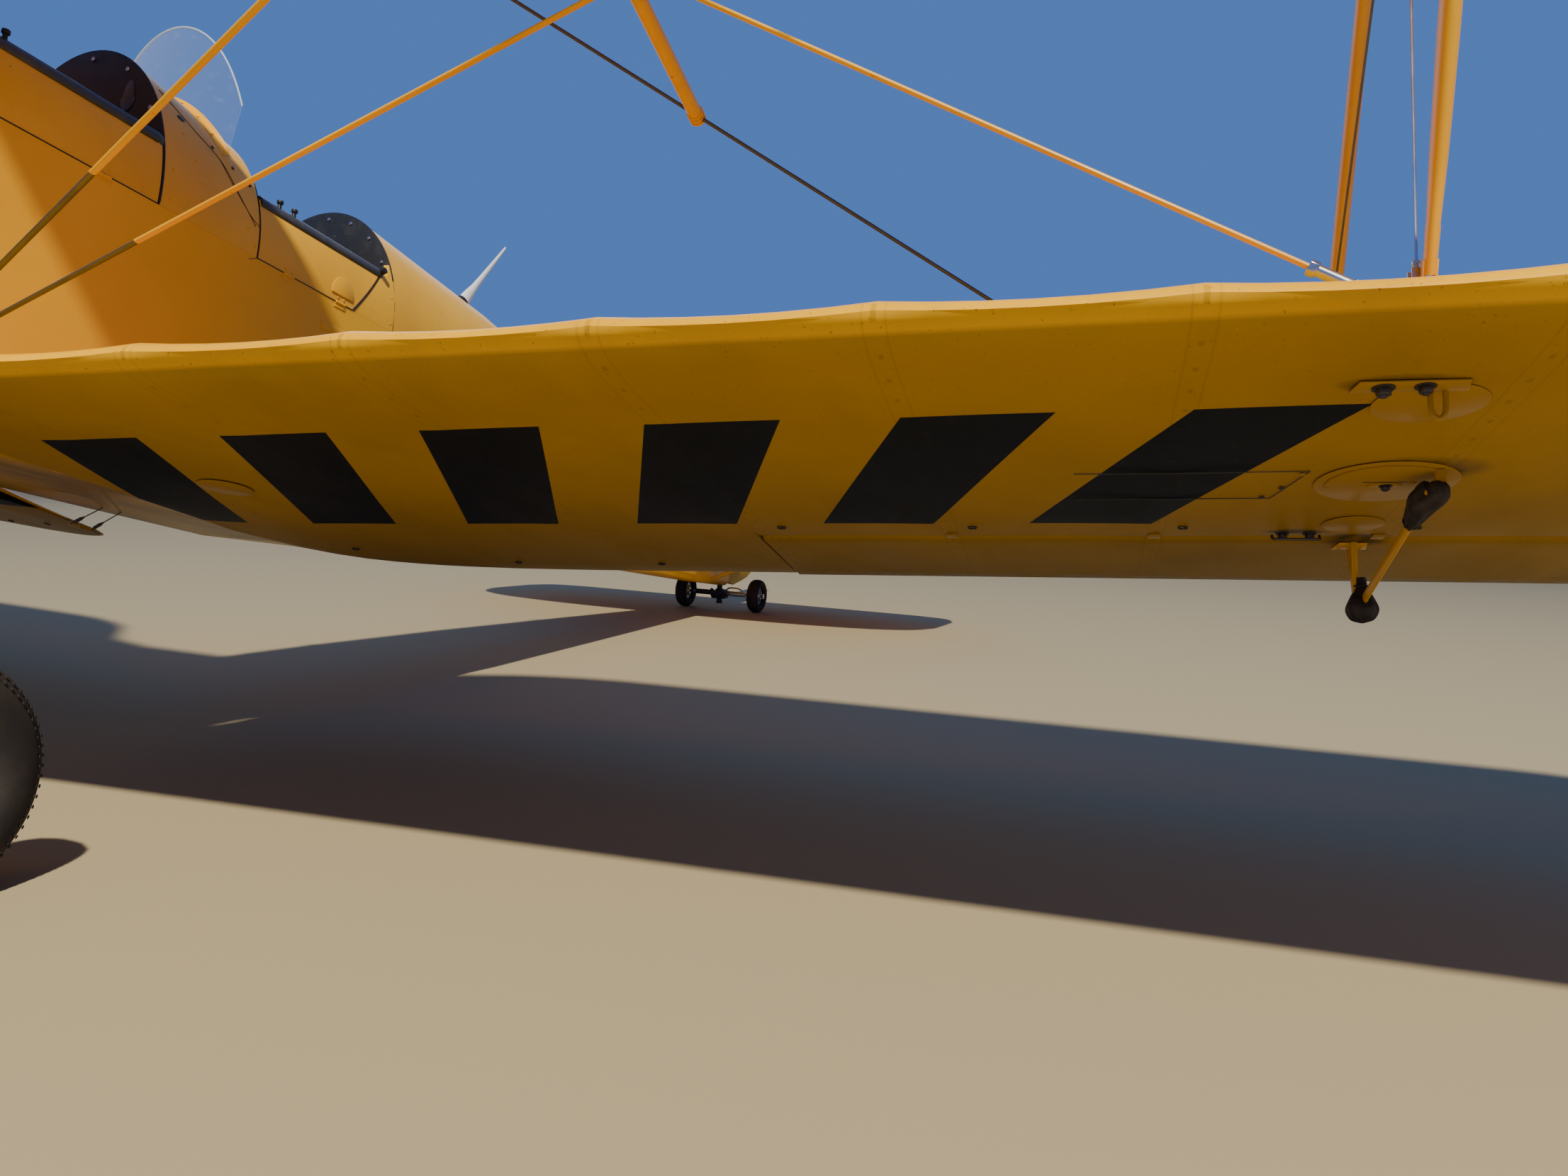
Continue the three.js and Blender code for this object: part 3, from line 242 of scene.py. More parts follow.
def between(table, x):
    """The row of a table at x, by smooth curves through its columns that never overshoot them."""
    rows = np.array(table, dtype=float)
    at, values = rows[:, 0], rows[:, 1:]
    slope = np.diff(values, axis=0) / np.diff(at)[:, None]
    tangent = np.vstack([slope[:1], (slope[:-1] + slope[1:]) / 2, slope[-1:]])
    tangent[1:-1][slope[:-1] * slope[1:] <= 0] = 0
    i = int(np.clip(np.searchsorted(at, x) - 1, 0, len(at) - 2))
    step = at[i + 1] - at[i]
    t = min(max((x - at[i]) / step, 0), 1)
    return (values[i] * (1 + 2 * t) * (1 - t) ** 2 + values[i + 1] * t * t * (3 - 2 * t)
            + step * (tangent[i] * t * (1 - t) ** 2 + tangent[i + 1] * t * t * (t - 1)))


# the section as a function of the root of the place, which keeps its nose round
ROUND_SECTION = tuple((sqrt(place), top, bottom) for place, top, bottom in SECTION)


def wing_frame(aft, up, *angles):
    sweep, dihedral, incidence, toe = (radians(a) for a in angles)
    out = Vector((1, tan(sweep), tan(dihedral)))
    back = Vector((-sin(toe) * cos(incidence), cos(toe) * cos(incidence), -sin(incidence)))
    rise = out.cross(back).normalized()
    start = Vector((0, aft, up)) - ROOT_X * out
    start.x = 0
    return AIRCRAFT @ Matrix.Translation(start) @ Matrix((out, back, rise)).transposed().to_4x4()


def rib_sag(x):
    """0 on a rib and 1 halfway between two, with a crease at each rib."""
    t = ((x - RIB_START) / RIB_PITCH) % 1
    return 4 * t * (1 - t)


def skin_point(plan, x, aft, side):
    """A point of the cloth at a station, a distance aft of the leading edge line; side 1 is the top, -1 the flat
    underside."""
    lead, trail, share = between(WING_PLAN[plan], x)
    place = min(max((aft / CHORD - lead) / (trail - lead), 0), 1) * LAST_PLACE
    top, bottom = between(ROUND_SECTION, sqrt(place))
    height = ((top if side > 0 else bottom) - NOSE_RISE * (1 - place)) * share * CHORD
    sag = rib_sag(x) * SAG * min(1, max(0, (place - 0.1) * 8)) * min(1, (LAST_PLACE - place) * 12)
    scallop = rib_sag(x) * 0.009 * exp(-(((place - 0.02) / 0.05) ** 2))
    return Vector((x, aft, height - side * sag - max(side, 0) * scallop))


def skin(rings):
    """A closed skin drawn out from one ring of points to the next, with a map of station and girth on it."""
    bm = bmesh.new()
    girth = bm.loops.layers.uv.new("panel")
    first = [bm.verts.new(p) for p, _ in rings[0]]
    edges = [bm.edges.new((first[i - 1], first[i])) for i in range(len(first))]
    marks = {v: (rings[0][i][0].x, rings[0][i][1]) for i, v in enumerate(first)}
    bm.faces.new(first)
    last = first
    for ring in rings[1:]:
        grown = bmesh.ops.extrude_edge_only(bm, edges=edges)["geom"]
        edges = [e for e in grown if isinstance(e, bmesh.types.BMEdge) and all(v not in last for v in e.verts)]
        last = [next(e.other_vert(v) for e in v.link_edges if e.other_vert(v) not in marks) for v in last]
        for v, (point, mark) in zip(last, ring):
            v.co = point
            marks[v] = (point.x, mark)
    bm.faces.new(last)
    for face in bm.faces:
        for loop in face.loops:
            loop[girth].uv = marks[loop.vert]
    bmesh.ops.remove_doubles(bm, verts=bm.verts, dist=1e-5)
    bmesh.ops.recalc_face_normals(bm, faces=bm.faces)
    return bm


# the record's slots, and the finishes that usually go with each
FINISHES = {
    "fabric_skin": "doped_cloth doped_cloth_barred tail_cloth", "yellow_paint": "yellow_enamel filmed_enamel",
    "steel_wire": "dark_steel grey_steel bright_steel satin_black rail_grey",
    "seat_leather": "gaiter_leather seat_leather seat_paint", "screen_clear": "clear_acrylic acrylic_edge",
    "aerial_white": "dial_white aerial_white", "engine_metal": "engine_paint", "varnished_wood": "varnished_wood",
    "pipe_steel": "exhaust_rust", "tyre_rubber": "tyre_rubber", "hub_steel": "hub_metal plated_steel",
    "dolly_paint": "dolly_paint",
}


def piece(name, bm, finish, body="airframe", replaces=(), sharp=32, slot=None, place=None):
    """A finished piece from its mesh, smooth but for its sharp edges, riding on a body."""
    if place:
        bm.transform(place)
    mesh = bpy.data.meshes.new(name)
    bm.to_mesh(mesh)
    bm.free()
    mesh.shade_smooth()
    mesh.set_sharp_from_angle(angle=radians(sharp))
    mesh.materials.append(finish)
    made = bpy.data.objects.new(name, mesh)
    link(made)
    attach(made, body)
    if replaces:
        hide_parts(*replaces)
    if slot is None:
        kind = finish.name.split(".")[0]  # without the number of a name that the solid model's materials have taken
        slot = next(s for s, kinds in FINISHES.items() if kind in kinds.split())
    return made


def mirrored(bm):
    """The same mesh on the other side of the aircraft, with its faces turned out again."""
    other = bm.copy()
    bmesh.ops.scale(other, vec=(-1, 1, 1), verts=other.verts)
    bmesh.ops.reverse_faces(other, faces=other.faces)
    return other


def both_sides(name, bm, finish, body="airframe", replaces=(), place=None, **more):
    """A piece to port and its mirror image to starboard; names in braces take the side."""
    if place:
        bm.transform(place)
    for side, mesh in (("left", bm), ("right", mirrored(bm))):
        stands = [n.format(side) for n in replaces]
        piece(f"{name}_{side}", mesh, finish, body.format(side), stands, **more)


def gathered(*parts):
    """Several meshes as one."""
    whole = bmesh.new()
    for part in parts:
        mesh = bpy.data.meshes.new("part")
        part.to_mesh(mesh)
        part.free()
        whole.from_mesh(mesh)
        bpy.data.meshes.remove(mesh)
    return whole


YELLOW = (0.87, 0.45, 0.003)
DEEP_YELLOW = (0.68, 0.315, 0.002)
GRIME = (0.10, 0.055, 0.014)


def doped_cloth(name, rib_pitch, rib_start, along=0):
    """Glossy doped cloth: a faint weave, sewn rib tapes that stand proud, soft waves and some grime. Along is the
    coordinate of the piece's map that counts the ribs."""
    f = Finish(name, YELLOW, 0.4, coat_weight=0.04, coat_roughness=0.25, specular_ior_level=0.14)
    at, *_ = f.place()
    _, *panel, _ = f.place("UV")
    to_rib = abs(panel[along].wave(rib_pitch, rib_start))
    tape = to_rib.near(0.0165, 0.0015)
    edge = abs(to_rib - 0.0165).near(0.0012, 0.0012)
    stitch = to_rib.near(0.003, 0.002) * abs(panel[1 - along].wave(0.076)).near(0.005, 0.003)
    cloud = f.noise(at, 1.6, 4)
    streak = f.noise(at, 7, 5, stretch=(1, 0.35, 1))
    colour = f.mix(((cloud - 0.35) * 1.6).math("MINIMUM", 1, clamp=True), YELLOW, DEEP_YELLOW)
    speck = f.noise(at, 160, 2).over(0.69, 0.03) * 0.5
    grime = streak.beyond(0.5, 2.2) * 0.28
    for amount in (grime, stitch * 0.3, edge * 0.14, speck):
        colour = f.mix(amount, colour, GRIME)
    f.set(base_color=colour, roughness=0.32 + 0.2 * streak)
    height = (tape * 0.16 + stitch * 0.3 + f.noise(at, 900, 1) * 0.02 + f.noise(at, 9, 2) * 0.9)
    return f, at, panel, colour, height


upper_cloth, *_, cloth_height = doped_cloth("doped_cloth", RIB_PITCH, RIB_START)
doped = upper_cloth.bump(cloth_height, 0.001, 0.6)

# The lower wings carry a row of plain slanted black bars under them; oil and dirt gather round their fittings. The
# underside is darkened with painted shade, and a pale band along the trailing edge is a painted reflection of the
# ground.
BAR_PITCH, BAR_HALF, BAR_SLANT = 0.44, 0.12, 0.42
BAR_ROW = (0.6, 3.24)
BAR_AFT = (0.30, 0.93)
# Columns: station, aft, reach along the span, reach along the chord
DIRT = ((3.035, 0.225, 0.09, 0.035), (3.03, 1.0, 0.07, 0.03), (3.15, 0.6, 0.11, 0.07), (3.15, 1.06, 0.07, 0.045),
        (3.11, 0.67, 0.05, 0.03))
TRAILING_EDGE = LAST_PLACE * CHORD


def with_bars(name):
    f, at, (station, girth), colour, height = doped_cloth(name, RIB_PITCH, RIB_START)
    slanted = station + girth * BAR_SLANT
    in_row = abs(slanted - sum(BAR_ROW) / 2).near((BAR_ROW[1] - BAR_ROW[0]) / 2, 0.0008)
    in_band = abs(girth - sum(BAR_AFT) / 2).near((BAR_AFT[1] - BAR_AFT[0]) / 2, 0.0008)
    bars = abs(slanted.wave(BAR_PITCH, BAR_ROW[0] + BAR_PITCH / 2)).near(BAR_HALF, 0.0008) * in_row * in_band
    dirt = 0
    smear = f.noise(at, 38, 5)
    for x, aft, along, back in DIRT:
        nearness = 1 - ((station - x) / along) ** 2 - ((girth - aft) / back) ** 2
        dirt = nearness.math("MAXIMUM", 0) + dirt
    # painted shade: aft of the nose the underside is darkened towards brown in uneven clouds, as it lies in shade
    underside_shade = girth.over(0.02, 0.01) * (0.42 + 0.3 * f.noise(at, 2.3, 4))
    colour = f.mix(underside_shade, colour, (0.16, 0.105, 0.001))
    colour = f.mix((dirt * (smear + 0.15)).math("MULTIPLY", 1.3, clamp=True), colour, (0.03, 0.022, 0.012))
    scuff = f.noise(at, 60, 4, stretch=(1, 0.2, 1)).over(0.66, 0.06) * 0.35
    black = f.mix(scuff, (0.007, 0.007, 0.007), (0.05, 0.032, 0.012))
    colour = f.mix(bars, colour, black)
    # painted reflection: a pale band in the ground's colour along the trailing edge, broken into streaks
    wear_and_reflection = abs(girth - TRAILING_EDGE).near(0.02, 0.02) * f.noise(at, 90, 4, stretch=(0.25, 1, 1)).over(0.42, 0.12)
    colour = f.mix(wear_and_reflection * 0.75, colour, (0.42, 0.34, 0.22))
    f.set(base_color=colour, coat_weight=0.04 + 0.14 * abs(girth).near(0.03, 0.03))
    return f.bump(height + bars * 0.15, 0.001, 0.6)


barred = with_bars("doped_cloth_barred")

# places along the girth of a section, closer together at the nose
RING_PLACES = [c * LAST_PLACE for c in
               (0, 0.0015, 0.005, 0.011, 0.02, 0.034, 0.055, 0.085, 0.125, 0.18, 0.25, 0.33, 0.42, 0.52, 0.62, 0.7,
                0.76, 0.82, 0.88, 0.94, 0.985, 1)]
BAY_FRONT = AILERON_AXIS[0] - AILERON_NOSE - AILERON_GAP


def wing_ring(plan, x, cut=False):
    """Points round the section at a station. Where the aileron takes over, the aft ones draw up to the bay's wall."""
    lead, trail, _ = between(WING_PLAN[plan], x)
    ring = []
    for side in (1, -1):
        for c in RING_PLACES if side > 0 else RING_PLACES[-2:0:-1]:
            aft = (lead + (trail - lead) * c / LAST_PLACE) * CHORD
            point = skin_point(plan, x, aft, side)
            if cut and aft > BAY_FRONT:
                edge, far_edge = (skin_point(plan, x, BAY_FRONT, s) for s in (side, -side))
                share = (aft - BAY_FRONT) / (trail * CHORD - BAY_FRONT)
                point = edge.lerp((edge + far_edge) / 2, share)
                point.y -= 0.007 * share
            ring.append((point, -side * aft))
    return ring


def stations(start, end, breaks=()):
    """Stations from one end to the other: six to a rib bay, closer at the tip, with the ribs among them."""
    found = {start, end, *breaks}
    ribs = np.arange(-2, 11) * RIB_PITCH + RIB_START
    for x in ribs:
        found.update((x + RIB_PITCH * np.arange(6) / 6).round(5))
    found.update(np.linspace(3.9, end, 22).round(4))
    return sorted(float(s) for s in found if start <= s <= end)


def trimmed(bm, point, normal):
    """The part of a mesh on the near side of a plane, closed there."""
    geometry = list(bm.verts) + list(bm.edges) + list(bm.faces)
    cut = bmesh.ops.bisect_plane(bm, geom=geometry, plane_co=point, plane_no=normal, clear_inner=True)
    rim = [e for e in cut["geom_cut"] if isinstance(e, bmesh.types.BMEdge)]
    bmesh.ops.holes_fill(bm, edges=rim, sides=0)
    return bm


for which, first, root, cloth in (("lower", 0.26, 0.3306, barred), ("upper", 0.32, 0.4506, doped)):
    tip = WING_PLAN[which][-1][0]
    rings = []
    for x in stations(first, tip, AILERON_SPAN if which == "lower" else ()):
        clipped = which == "lower" and AILERON_SPAN[0] <= x <= AILERON_SPAN[1]
        if which == "lower" and x in AILERON_SPAN:
            pair = [wing_ring(which, x, False), wing_ring(which, x, True)]
            rings += pair if x == AILERON_SPAN[0] else pair[::-1]
        else:
            rings.append(wing_ring(which, x, clipped))
    panel = skin(rings)
    panel.transform(wing_frame(*WING_SETTING[which]))
    trimmed(panel, (root, 0, 0), (1, 0, 0))
    both_sides(f"{which}_wing_skin", panel, cloth, replaces=(which + "_wing_{}",))


# Ailerons. Cloth over a spar and short ribs, with a rounded nose in the bay of the lower wing. A flanged steel
# horn hangs from each, riveted to a foot plate on its underside.
AILERON_ENDS = (AILERON_SPAN[0] + 0.006, AILERON_SPAN[1] - 0.006)
NOSE_TURNS = 10
LOWER = wing_frame(*WING_SETTING["lower"])


def aileron_ring(x):
    _, trail, _ = between(WING_PLAN["lower"], x)
    aft, up = AILERON_AXIS
    end = trail * CHORD
    edges = [skin_point("lower", x, aft, side) for side in (1, -1)]
    radius = min(AILERON_NOSE, (edges[0].z - edges[1].z) / 2)
    middle = (edges[0].z + edges[1].z) / 2
    ring = []
    for k in range(NOSE_TURNS + 1):
        turn = pi * (0.5 + k / NOSE_TURNS)
        ring.append((Vector((x, aft + radius * cos(turn), middle + radius * sin(turn))), aft))
    shares = (0.08, 0.2, 0.36, 0.54, 0.72, 0.88, 1)
    ring += [(skin_point("lower", x, aft + (end - aft) * s, -1), aft + (end - aft) * s) for s in shares]
    ring += [(skin_point("lower", x, aft + (end - aft) * s, 1), -aft - (end - aft) * s) for s in reversed(shares)]
    return ring


aileron = skin([aileron_ring(x) for x in stations(*AILERON_ENDS)])
both_sides("aileron_skin", aileron, barred, "aileron_{}", ("aileron_{}",), LOWER)


def enamel(name, colour, deep, roughness=0.34, chip=(0.05, 0.045, 0.04), chipped=0.5):
    """Brushed enamel over metal or wood: darker in clouds, specked with chips, with runs of thin dirt."""
    f = Finish(name, colour, roughness, coat_weight=0.12, coat_roughness=0.16, specular_ior_level=0.35)
    at, *_ = f.place()
    cloud = f.noise(at, 3.1, 4)
    shade = f.mix(((cloud - 0.35) * 1.5).math("MINIMUM", 1, clamp=True), colour, deep)
    dirt = f.noise(at, 11, 6, stretch=(1, 1, 0.4)).beyond(0.55, 2) * 0.4
    shade = f.mix(dirt, shade, tuple(c * 0.35 for c in deep))
    chips = f.noise(at, 75, 3).over(0.73, 0.012) * chipped
    shade = f.mix(chips, shade, chip)
    f.set(base_color=shade, roughness=roughness + 0.16 * cloud)
    return f.bump(f.noise(at, 240, 2) * 0.12 + cloud * 0.6 - chips * 0.3, 0.0008, 0.5)


yellow_enamel = enamel("yellow_enamel", YELLOW, DEEP_YELLOW)


def aboard(x, y, z):
    """A point given on the aircraft's own axes."""
    return AIRCRAFT @ Vector((x, y, z))


def aboard_way(x, y, z):
    """A direction given on the aircraft's own axes."""
    return AIRCRAFT.to_3x3() @ Vector((x, y, z))


def wing_spot(x, aft, up):
    """A point given on the lower wing's own axes."""
    return LOWER @ Vector((x, aft, up))


def moved(x, y, z):
    return Matrix.Translation((x, y, z))


def facing(order, *at):
    """A place whose world axes are local ones in the given order, a capital for one that runs the other way."""
    rows = [[(way.lower() == axis) - 2 * (way == axis.upper()) for axis in "xyz"] + [shift]
            for way, shift in zip(order, (*at, 0, 0, 0))]
    return Matrix((*rows, (0, 0, 0, 1)))


def plate(outline, thick, place=None, rounding=0.0):
    """A flat plate of a given outline, standing on its own ground plane, with its edges rounded off."""
    bm = bmesh.new()
    face = bm.faces.new([bm.verts.new((x, y, 0)) for x, y in outline])
    raised = bmesh.ops.extrude_face_region(bm, geom=[face])["geom"]
    bmesh.ops.translate(bm, vec=(0, 0, thick), verts=[v for v in raised if isinstance(v, bmesh.types.BMVert)])
    bmesh.ops.recalc_face_normals(bm, faces=bm.faces)
    if rounding:
        bmesh.ops.bevel(bm, geom=list(bm.edges), offset=rounding, segments=2, profile=0.5, affect="EDGES",
                        material=-1, clamp_overlap=True)
    if place:
        bm.transform(place)
    return bm


def oval(across, up, count=24, start=0.0, end=2 * pi):
    """Points of an oval, or of a part of one."""
    return [(across * cos(t), up * sin(t)) for t in np.linspace(start, end, count, endpoint=end - start < 6.28)]


def circle(radius, *more):
    return oval(radius, radius, *more)


def slab(x, y, z, rounding=0.0):
    """A block between three pairs of coordinates."""
    return plate([(x[0], y[0]), (x[1], y[0]), (x[1], y[1]), (x[0], y[1])], z[1] - z[0], moved(0, 0, z[0]), rounding)


def aimed(start, end, way=(0, 0, 1)):
    """A place at start with its z axis towards the end, and its x axis as near the given way as it can be."""
    z = (Vector(end) - Vector(start)).normalized()
    y = z.cross(Vector(way))
    if y.length < 1e-3:
        y = z.cross(Vector((0, 1, 0)))
    y.normalize()
    return Matrix.Translation(start) @ Matrix((y.cross(z), y, z)).transposed().to_4x4()


def bar(start, end, radius, far_radius=None, sides=16):
    """A round bar, with its ends a little rounded."""
    bm = bmesh.new()
    length = (Vector(end) - Vector(start)).length
    bmesh.ops.create_cone(bm, cap_ends=True, segments=sides, radius1=radius, depth=length,
                          radius2=radius if far_radius is None else far_radius,
                          matrix=aimed(start, end) @ moved(0, 0, length / 2))
    return bm


def bolt(place, radius, stud=0.0):
    """A washer and a hexagon nut on a surface, with the end of its bolt."""
    washer = plate(circle(radius * 1.45, 14), radius * 0.22)
    nut = plate(circle(radius, 6), radius * 0.9, moved(0, 0, radius * 0.2), radius * 0.08)
    end = plate(circle(radius * 0.5, 10), radius * 1.4 + stud, None, radius * 0.06)
    whole = gathered(washer, nut, end)
    whole.transform(place)
    return whole


def rivet(place, radius):
    """The low round head of a rivet or screw."""
    return plate(circle(radius, 8), radius * 0.5, place, radius * 0.28)


def under_wing(x, aft, out=0.0):
    """A place on the lower wing's flat underside: x outboard, y forward and z down, off the cloth."""
    spot = wing_spot(x, aft, -NOSE_RISE * (1 - aft / CHORD) * CHORD)
    forward = (LOWER.to_3x3() @ Vector((0, -1, -NOSE_RISE))).normalized()
    down_way = (LOWER.to_3x3() @ Vector((1, 0, 0))).cross(forward).normalized()
    return (Matrix.Translation(spot + down_way * out)
            @ Matrix((forward.cross(down_way), forward, down_way)).transposed().to_4x4())


HORN_X, HORN_DROP = 3.15, 0.128
horn_place = under_wing(HORN_X, AILERON_AXIS[0])
horn_web = plate([(-0.0065, 0), (-0.06, 0), (-0.014, HORN_DROP - 0.008), (-0.002, HORN_DROP + 0.008),
                  (0.010, HORN_DROP - 0.004), (0.0065, 0)], 0.003,
                 horn_place @ facing("zxy", -0.0015), 0.0006)
horn_flange = plate([(-0.006, 0), (0.006, 0), (0.005, HORN_DROP), (-0.005, HORN_DROP)], 0.0025,
                    horn_place @ facing("xzy", 0, 0.004), 0.0006)
horn_foot_plate = plate([(-0.034, -0.05), (0.034, -0.05), (0.026, 0.0), (-0.026, 0.0)], 0.003, horn_place, 0.001)
horn_rivets = [rivet(horn_place @ moved(x, y, 0.003), 0.0035) for x in (-0.02, 0.02) for y in (-0.04, -0.022)]
horn = gathered(horn_web, horn_flange, horn_foot_plate, *horn_rivets)
both_sides("aileron_horn", horn, yellow_enamel, "aileron_{}")


# Aileron drive. A flat disc under each lower wing carries the crank's pin; a flat push rod runs from there to the
# horn. Tied leather gaiters keep grit out of both pivots.
# A darker copy of the yellow enamel, which paints shade on the fittings that sit in shade under the lower wings.
filmed_enamel = enamel("filmed_enamel", (0.46, 0.245, 0.004), (0.38, 0.19, 0.003))
CRANK_X, CRANK_AFT, CRANK_RADIUS = 3.114, 0.665, 0.095
crank_place = under_wing(CRANK_X, CRANK_AFT, 0.0004)
disc = gathered(
    plate(circle(CRANK_RADIUS, 48), 0.0045, crank_place, 0.0012),
    plate(oval(0.026, 0.012, 18), 0.002, crank_place @ moved(0, 0, 0.0045), 0.0008),
    rivet(crank_place @ moved(0.04, 0.012, 0.0045), 0.006),
    rivet(crank_place @ moved(-0.024, -0.006, 0.0045), 0.005),
    bar(crank_place @ Vector((0.065, 0.068, 0.002)), crank_place @ Vector((0.065, 0.068, 0.024)), 0.009),
)
both_sides("aileron_crank_disc", disc, filmed_enamel, "aileron_crank_{}", ("aileron_crank_{}",))


def metal(name, colour, roughness=0.38, dull=(0.10, 0.085, 0.07), patches=0.5):
    """Bare metal: fine scratches, duller and darker in patches where it is stained."""
    f = Finish(name, colour, roughness, 1.0)
    at, *_ = f.place()
    stain = f.noise(at, 14, 5).beyond(0.45, 3) * patches
    f.set(base_color=f.mix(stain, colour, dull), roughness=roughness + 0.3 * stain, metallic=1 - 0.5 * stain)
    return f.bump(f.noise(at, 60, 3, stretch=(1, 1, 12)) * 0.2 + f.noise(at, 500, 1) * 0.1, 0.0005, 0.5)


dark_steel = metal("dark_steel", (0.13, 0.12, 0.11), 0.45)
bright_steel = metal("bright_steel", (0.55, 0.55, 0.56), 0.25, (0.2, 0.19, 0.18), 0.35)
grey_steel = metal("grey_steel", (0.16, 0.155, 0.155), 0.42, (0.07, 0.06, 0.05))
crank_nuts = gathered(
    bolt(crank_place @ moved(0, 0, 0.006), 0.0075),
    plate([(-0.034, 0.0135), (0.034, 0.0135), (0.034, 0.0147), (-0.034, 0.0147)], 0.0012,
          crank_place @ moved(-0.005, 0.002, 0.0042)),
)
both_sides("aileron_crank_nuts", crank_nuts, dark_steel, "aileron_crank_{}")


def smooth_path(points, count):
    """Points at even steps of a smooth curve through a few given ones."""
    given = [Vector(p) for p in points]
    table = [(i, *p) for i, p in enumerate(given)]
    return [Vector(between(table, t)) for t in np.linspace(0, len(given) - 1, count)]


def swept(path, outline, way=(0, 0, 1), sizes=None):
    """An outline of (along the way, across it) pairs drawn along a path, and scaled on its way if sizes are given."""
    rings = []
    for i, point in enumerate(path):
        before, after = path[max(i - 1, 0)], path[min(i + 1, len(path) - 1)]
        place = aimed(point, Vector(point) + (Vector(after) - Vector(before)), way)
        size = sizes[i] if sizes else 1
        rings.append([(place @ Vector((x * size, y * size, 0)), atan2(y, x)) for x, y in outline])
    return skin(rings)


ROD_X = HORN_X + 0.0109
rod_foot = wing_spot(ROD_X, AILERON_AXIS[0], -NOSE_RISE * (1 - HINGE_PLACE) * CHORD - HORN_DROP)
rod_head = wing_spot(ROD_X, CRANK_AFT - 0.068, -NOSE_RISE * 0.5 * CHORD - 0.042)
rod_way = (rod_head - rod_foot).normalized()
down_way = under_wing(CRANK_X, CRANK_AFT).to_3x3() @ Vector((0, 0, 1))
push_rod = gathered(
    swept([rod_foot - rod_way * 0.004, rod_head - rod_way * 0.02], oval(0.0125, 0.0042, 20), down_way),
    bar(rod_head - rod_way * 0.05, rod_head, 0.0065, 0.006),
    plate(circle(0.016, 18), 0.009, aimed(rod_foot - aboard_way(0.0045, 0, 0),
                                          rod_foot + aboard_way(0.0045, 0, 0)), 0.001),
)
both_sides("aileron_rod_bar", push_rod, yellow_enamel, "aileron_rod_{}", ("aileron_rod_{}",))


def leather(name, colour, wear_and_reflection):
    f = Finish(name, colour, 0.6, specular_ior_level=0.35)
    at, *_ = f.place()
    grain = f.node("TexVoronoi", {"feature": "F1"}, {"Vector": at, "Scale": 420})
    crease = f.noise(at, 34, 5)
    f.set(base_color=f.mix(crease.beyond(0.42, 3.2) * 0.75, colour, wear_and_reflection), roughness=0.5 + 0.3 * crease)
    return f.bump(grain * 0.35 + crease * 1.2, 0.0012, 0.8)


gaiter_leather = leather("gaiter_leather", (0.022, 0.017, 0.016), (0.075, 0.058, 0.052))


def gaiter(path, sizes, folds, depth, count=28):
    """A tied leather sleeve: a loft on a bent path, puckered lengthwise where it is gathered."""
    outline = [((1 + depth * sin(folds * t) + depth * 0.6 * sin(3 * t + 1)) * cos(t),
                (1 + depth * sin(folds * t + 0.7)) * sin(t) * 0.82)
               for t in np.linspace(0, 2 * pi, 40, endpoint=False)]
    points = smooth_path(path, count)
    spans = [float(between(list(enumerate(sizes)), t)[0]) for t in np.linspace(0, len(sizes) - 1, count)]
    return swept(points, outline, down_way, spans)


pin = crank_place @ Vector((0.062, 0.066, 0.010))
upper_gaiter = gaiter(
    [pin + down_way * 0.009, pin + down_way * 0.020 - rod_way * 0.004, rod_head - rod_way * 0.03,
     rod_head - rod_way * 0.065, rod_head - rod_way * 0.10, rod_head - rod_way * 0.118],
    [0.010, 0.0235, 0.0265, 0.022, 0.0165, 0.0125], 7, 0.07)
lower_gaiter = gaiter(
    [rod_foot - down_way * 0.052, rod_foot - down_way * 0.032, rod_foot - down_way * 0.012,
     rod_foot + down_way * 0.012, rod_foot + down_way * 0.032, rod_foot + down_way * 0.040],
    [0.011, 0.014, 0.026, 0.036, 0.026, 0.006], 5, 0.09)
ties = [swept(smooth_path([middle + place.to_3x3() @ Vector((r * cos(t), r * sin(t) * 0.85, 0))
                           for t in np.linspace(0, 2 * pi, 9)], 25), circle(0.0016, 6), (0.3, 0.5, 0.8))
        for middle, place, r in ((rod_foot - down_way * 0.034, aimed(rod_foot, rod_foot + down_way), 0.0165),
                                 (rod_head - rod_way * 0.106, aimed(rod_foot, rod_head), 0.0155))]
both_sides("aileron_rod_gaiters", gathered(upper_gaiter, lower_gaiter, *ties), gaiter_leather, "aileron_rod_{}",
    sharp=50)


# Fittings under the lower wing: strut bolts on small plates, a tie-down ring, a bracket, cloth patches sewn round
# the openings, a screwed access panel, drain grommets and the aileron's hinge plates.
def under_patch(x, aft, radius, thick=0.0007):
    return plate(circle(radius, 48), thick, under_wing(x, aft, 0.0004), thick * 0.45)


patches = [under_patch(x, aft, r) for x, aft, r in (
    (3.085, 0.30, 0.075), (CRANK_X, CRANK_AFT, 0.112), (3.12, 0.93, 0.055), (0.75, 0.62, 0.06))]
grommet_rows = [(RIB_START + RIB_PITCH * (k + 0.12), 1.315 - 0.14 * (k < 1)) for k in range(3)]
grommet_rows += [(RIB_START + RIB_PITCH * (k + 0.12), 0.955) for k in range(3, 8)]
grommets = [swept(smooth_path([under_wing(x, aft, 0.0012) @ Vector((0.0085 * cos(t), 0.0085 * sin(t), 0))
                               for t in np.linspace(0, 2 * pi, 9)], 17), circle(0.002, 6), (0.4, 0.5, 0.7))
            for x, aft in grommet_rows]
hinge_plates = [plate([(-0.012, -0.002), (0.012, -0.002), (0.012, 0.03), (-0.012, 0.03)], 0.002,
                      under_wing(RIB_START + RIB_PITCH * k, BAY_FRONT - 0.004, 0.0002), 0.0007) for k in (4, 5, 6, 8)]
panel_edge = [(2.60, 0.60), (2.985, 0.60), (2.945, 0.755), (2.60, 0.755)]
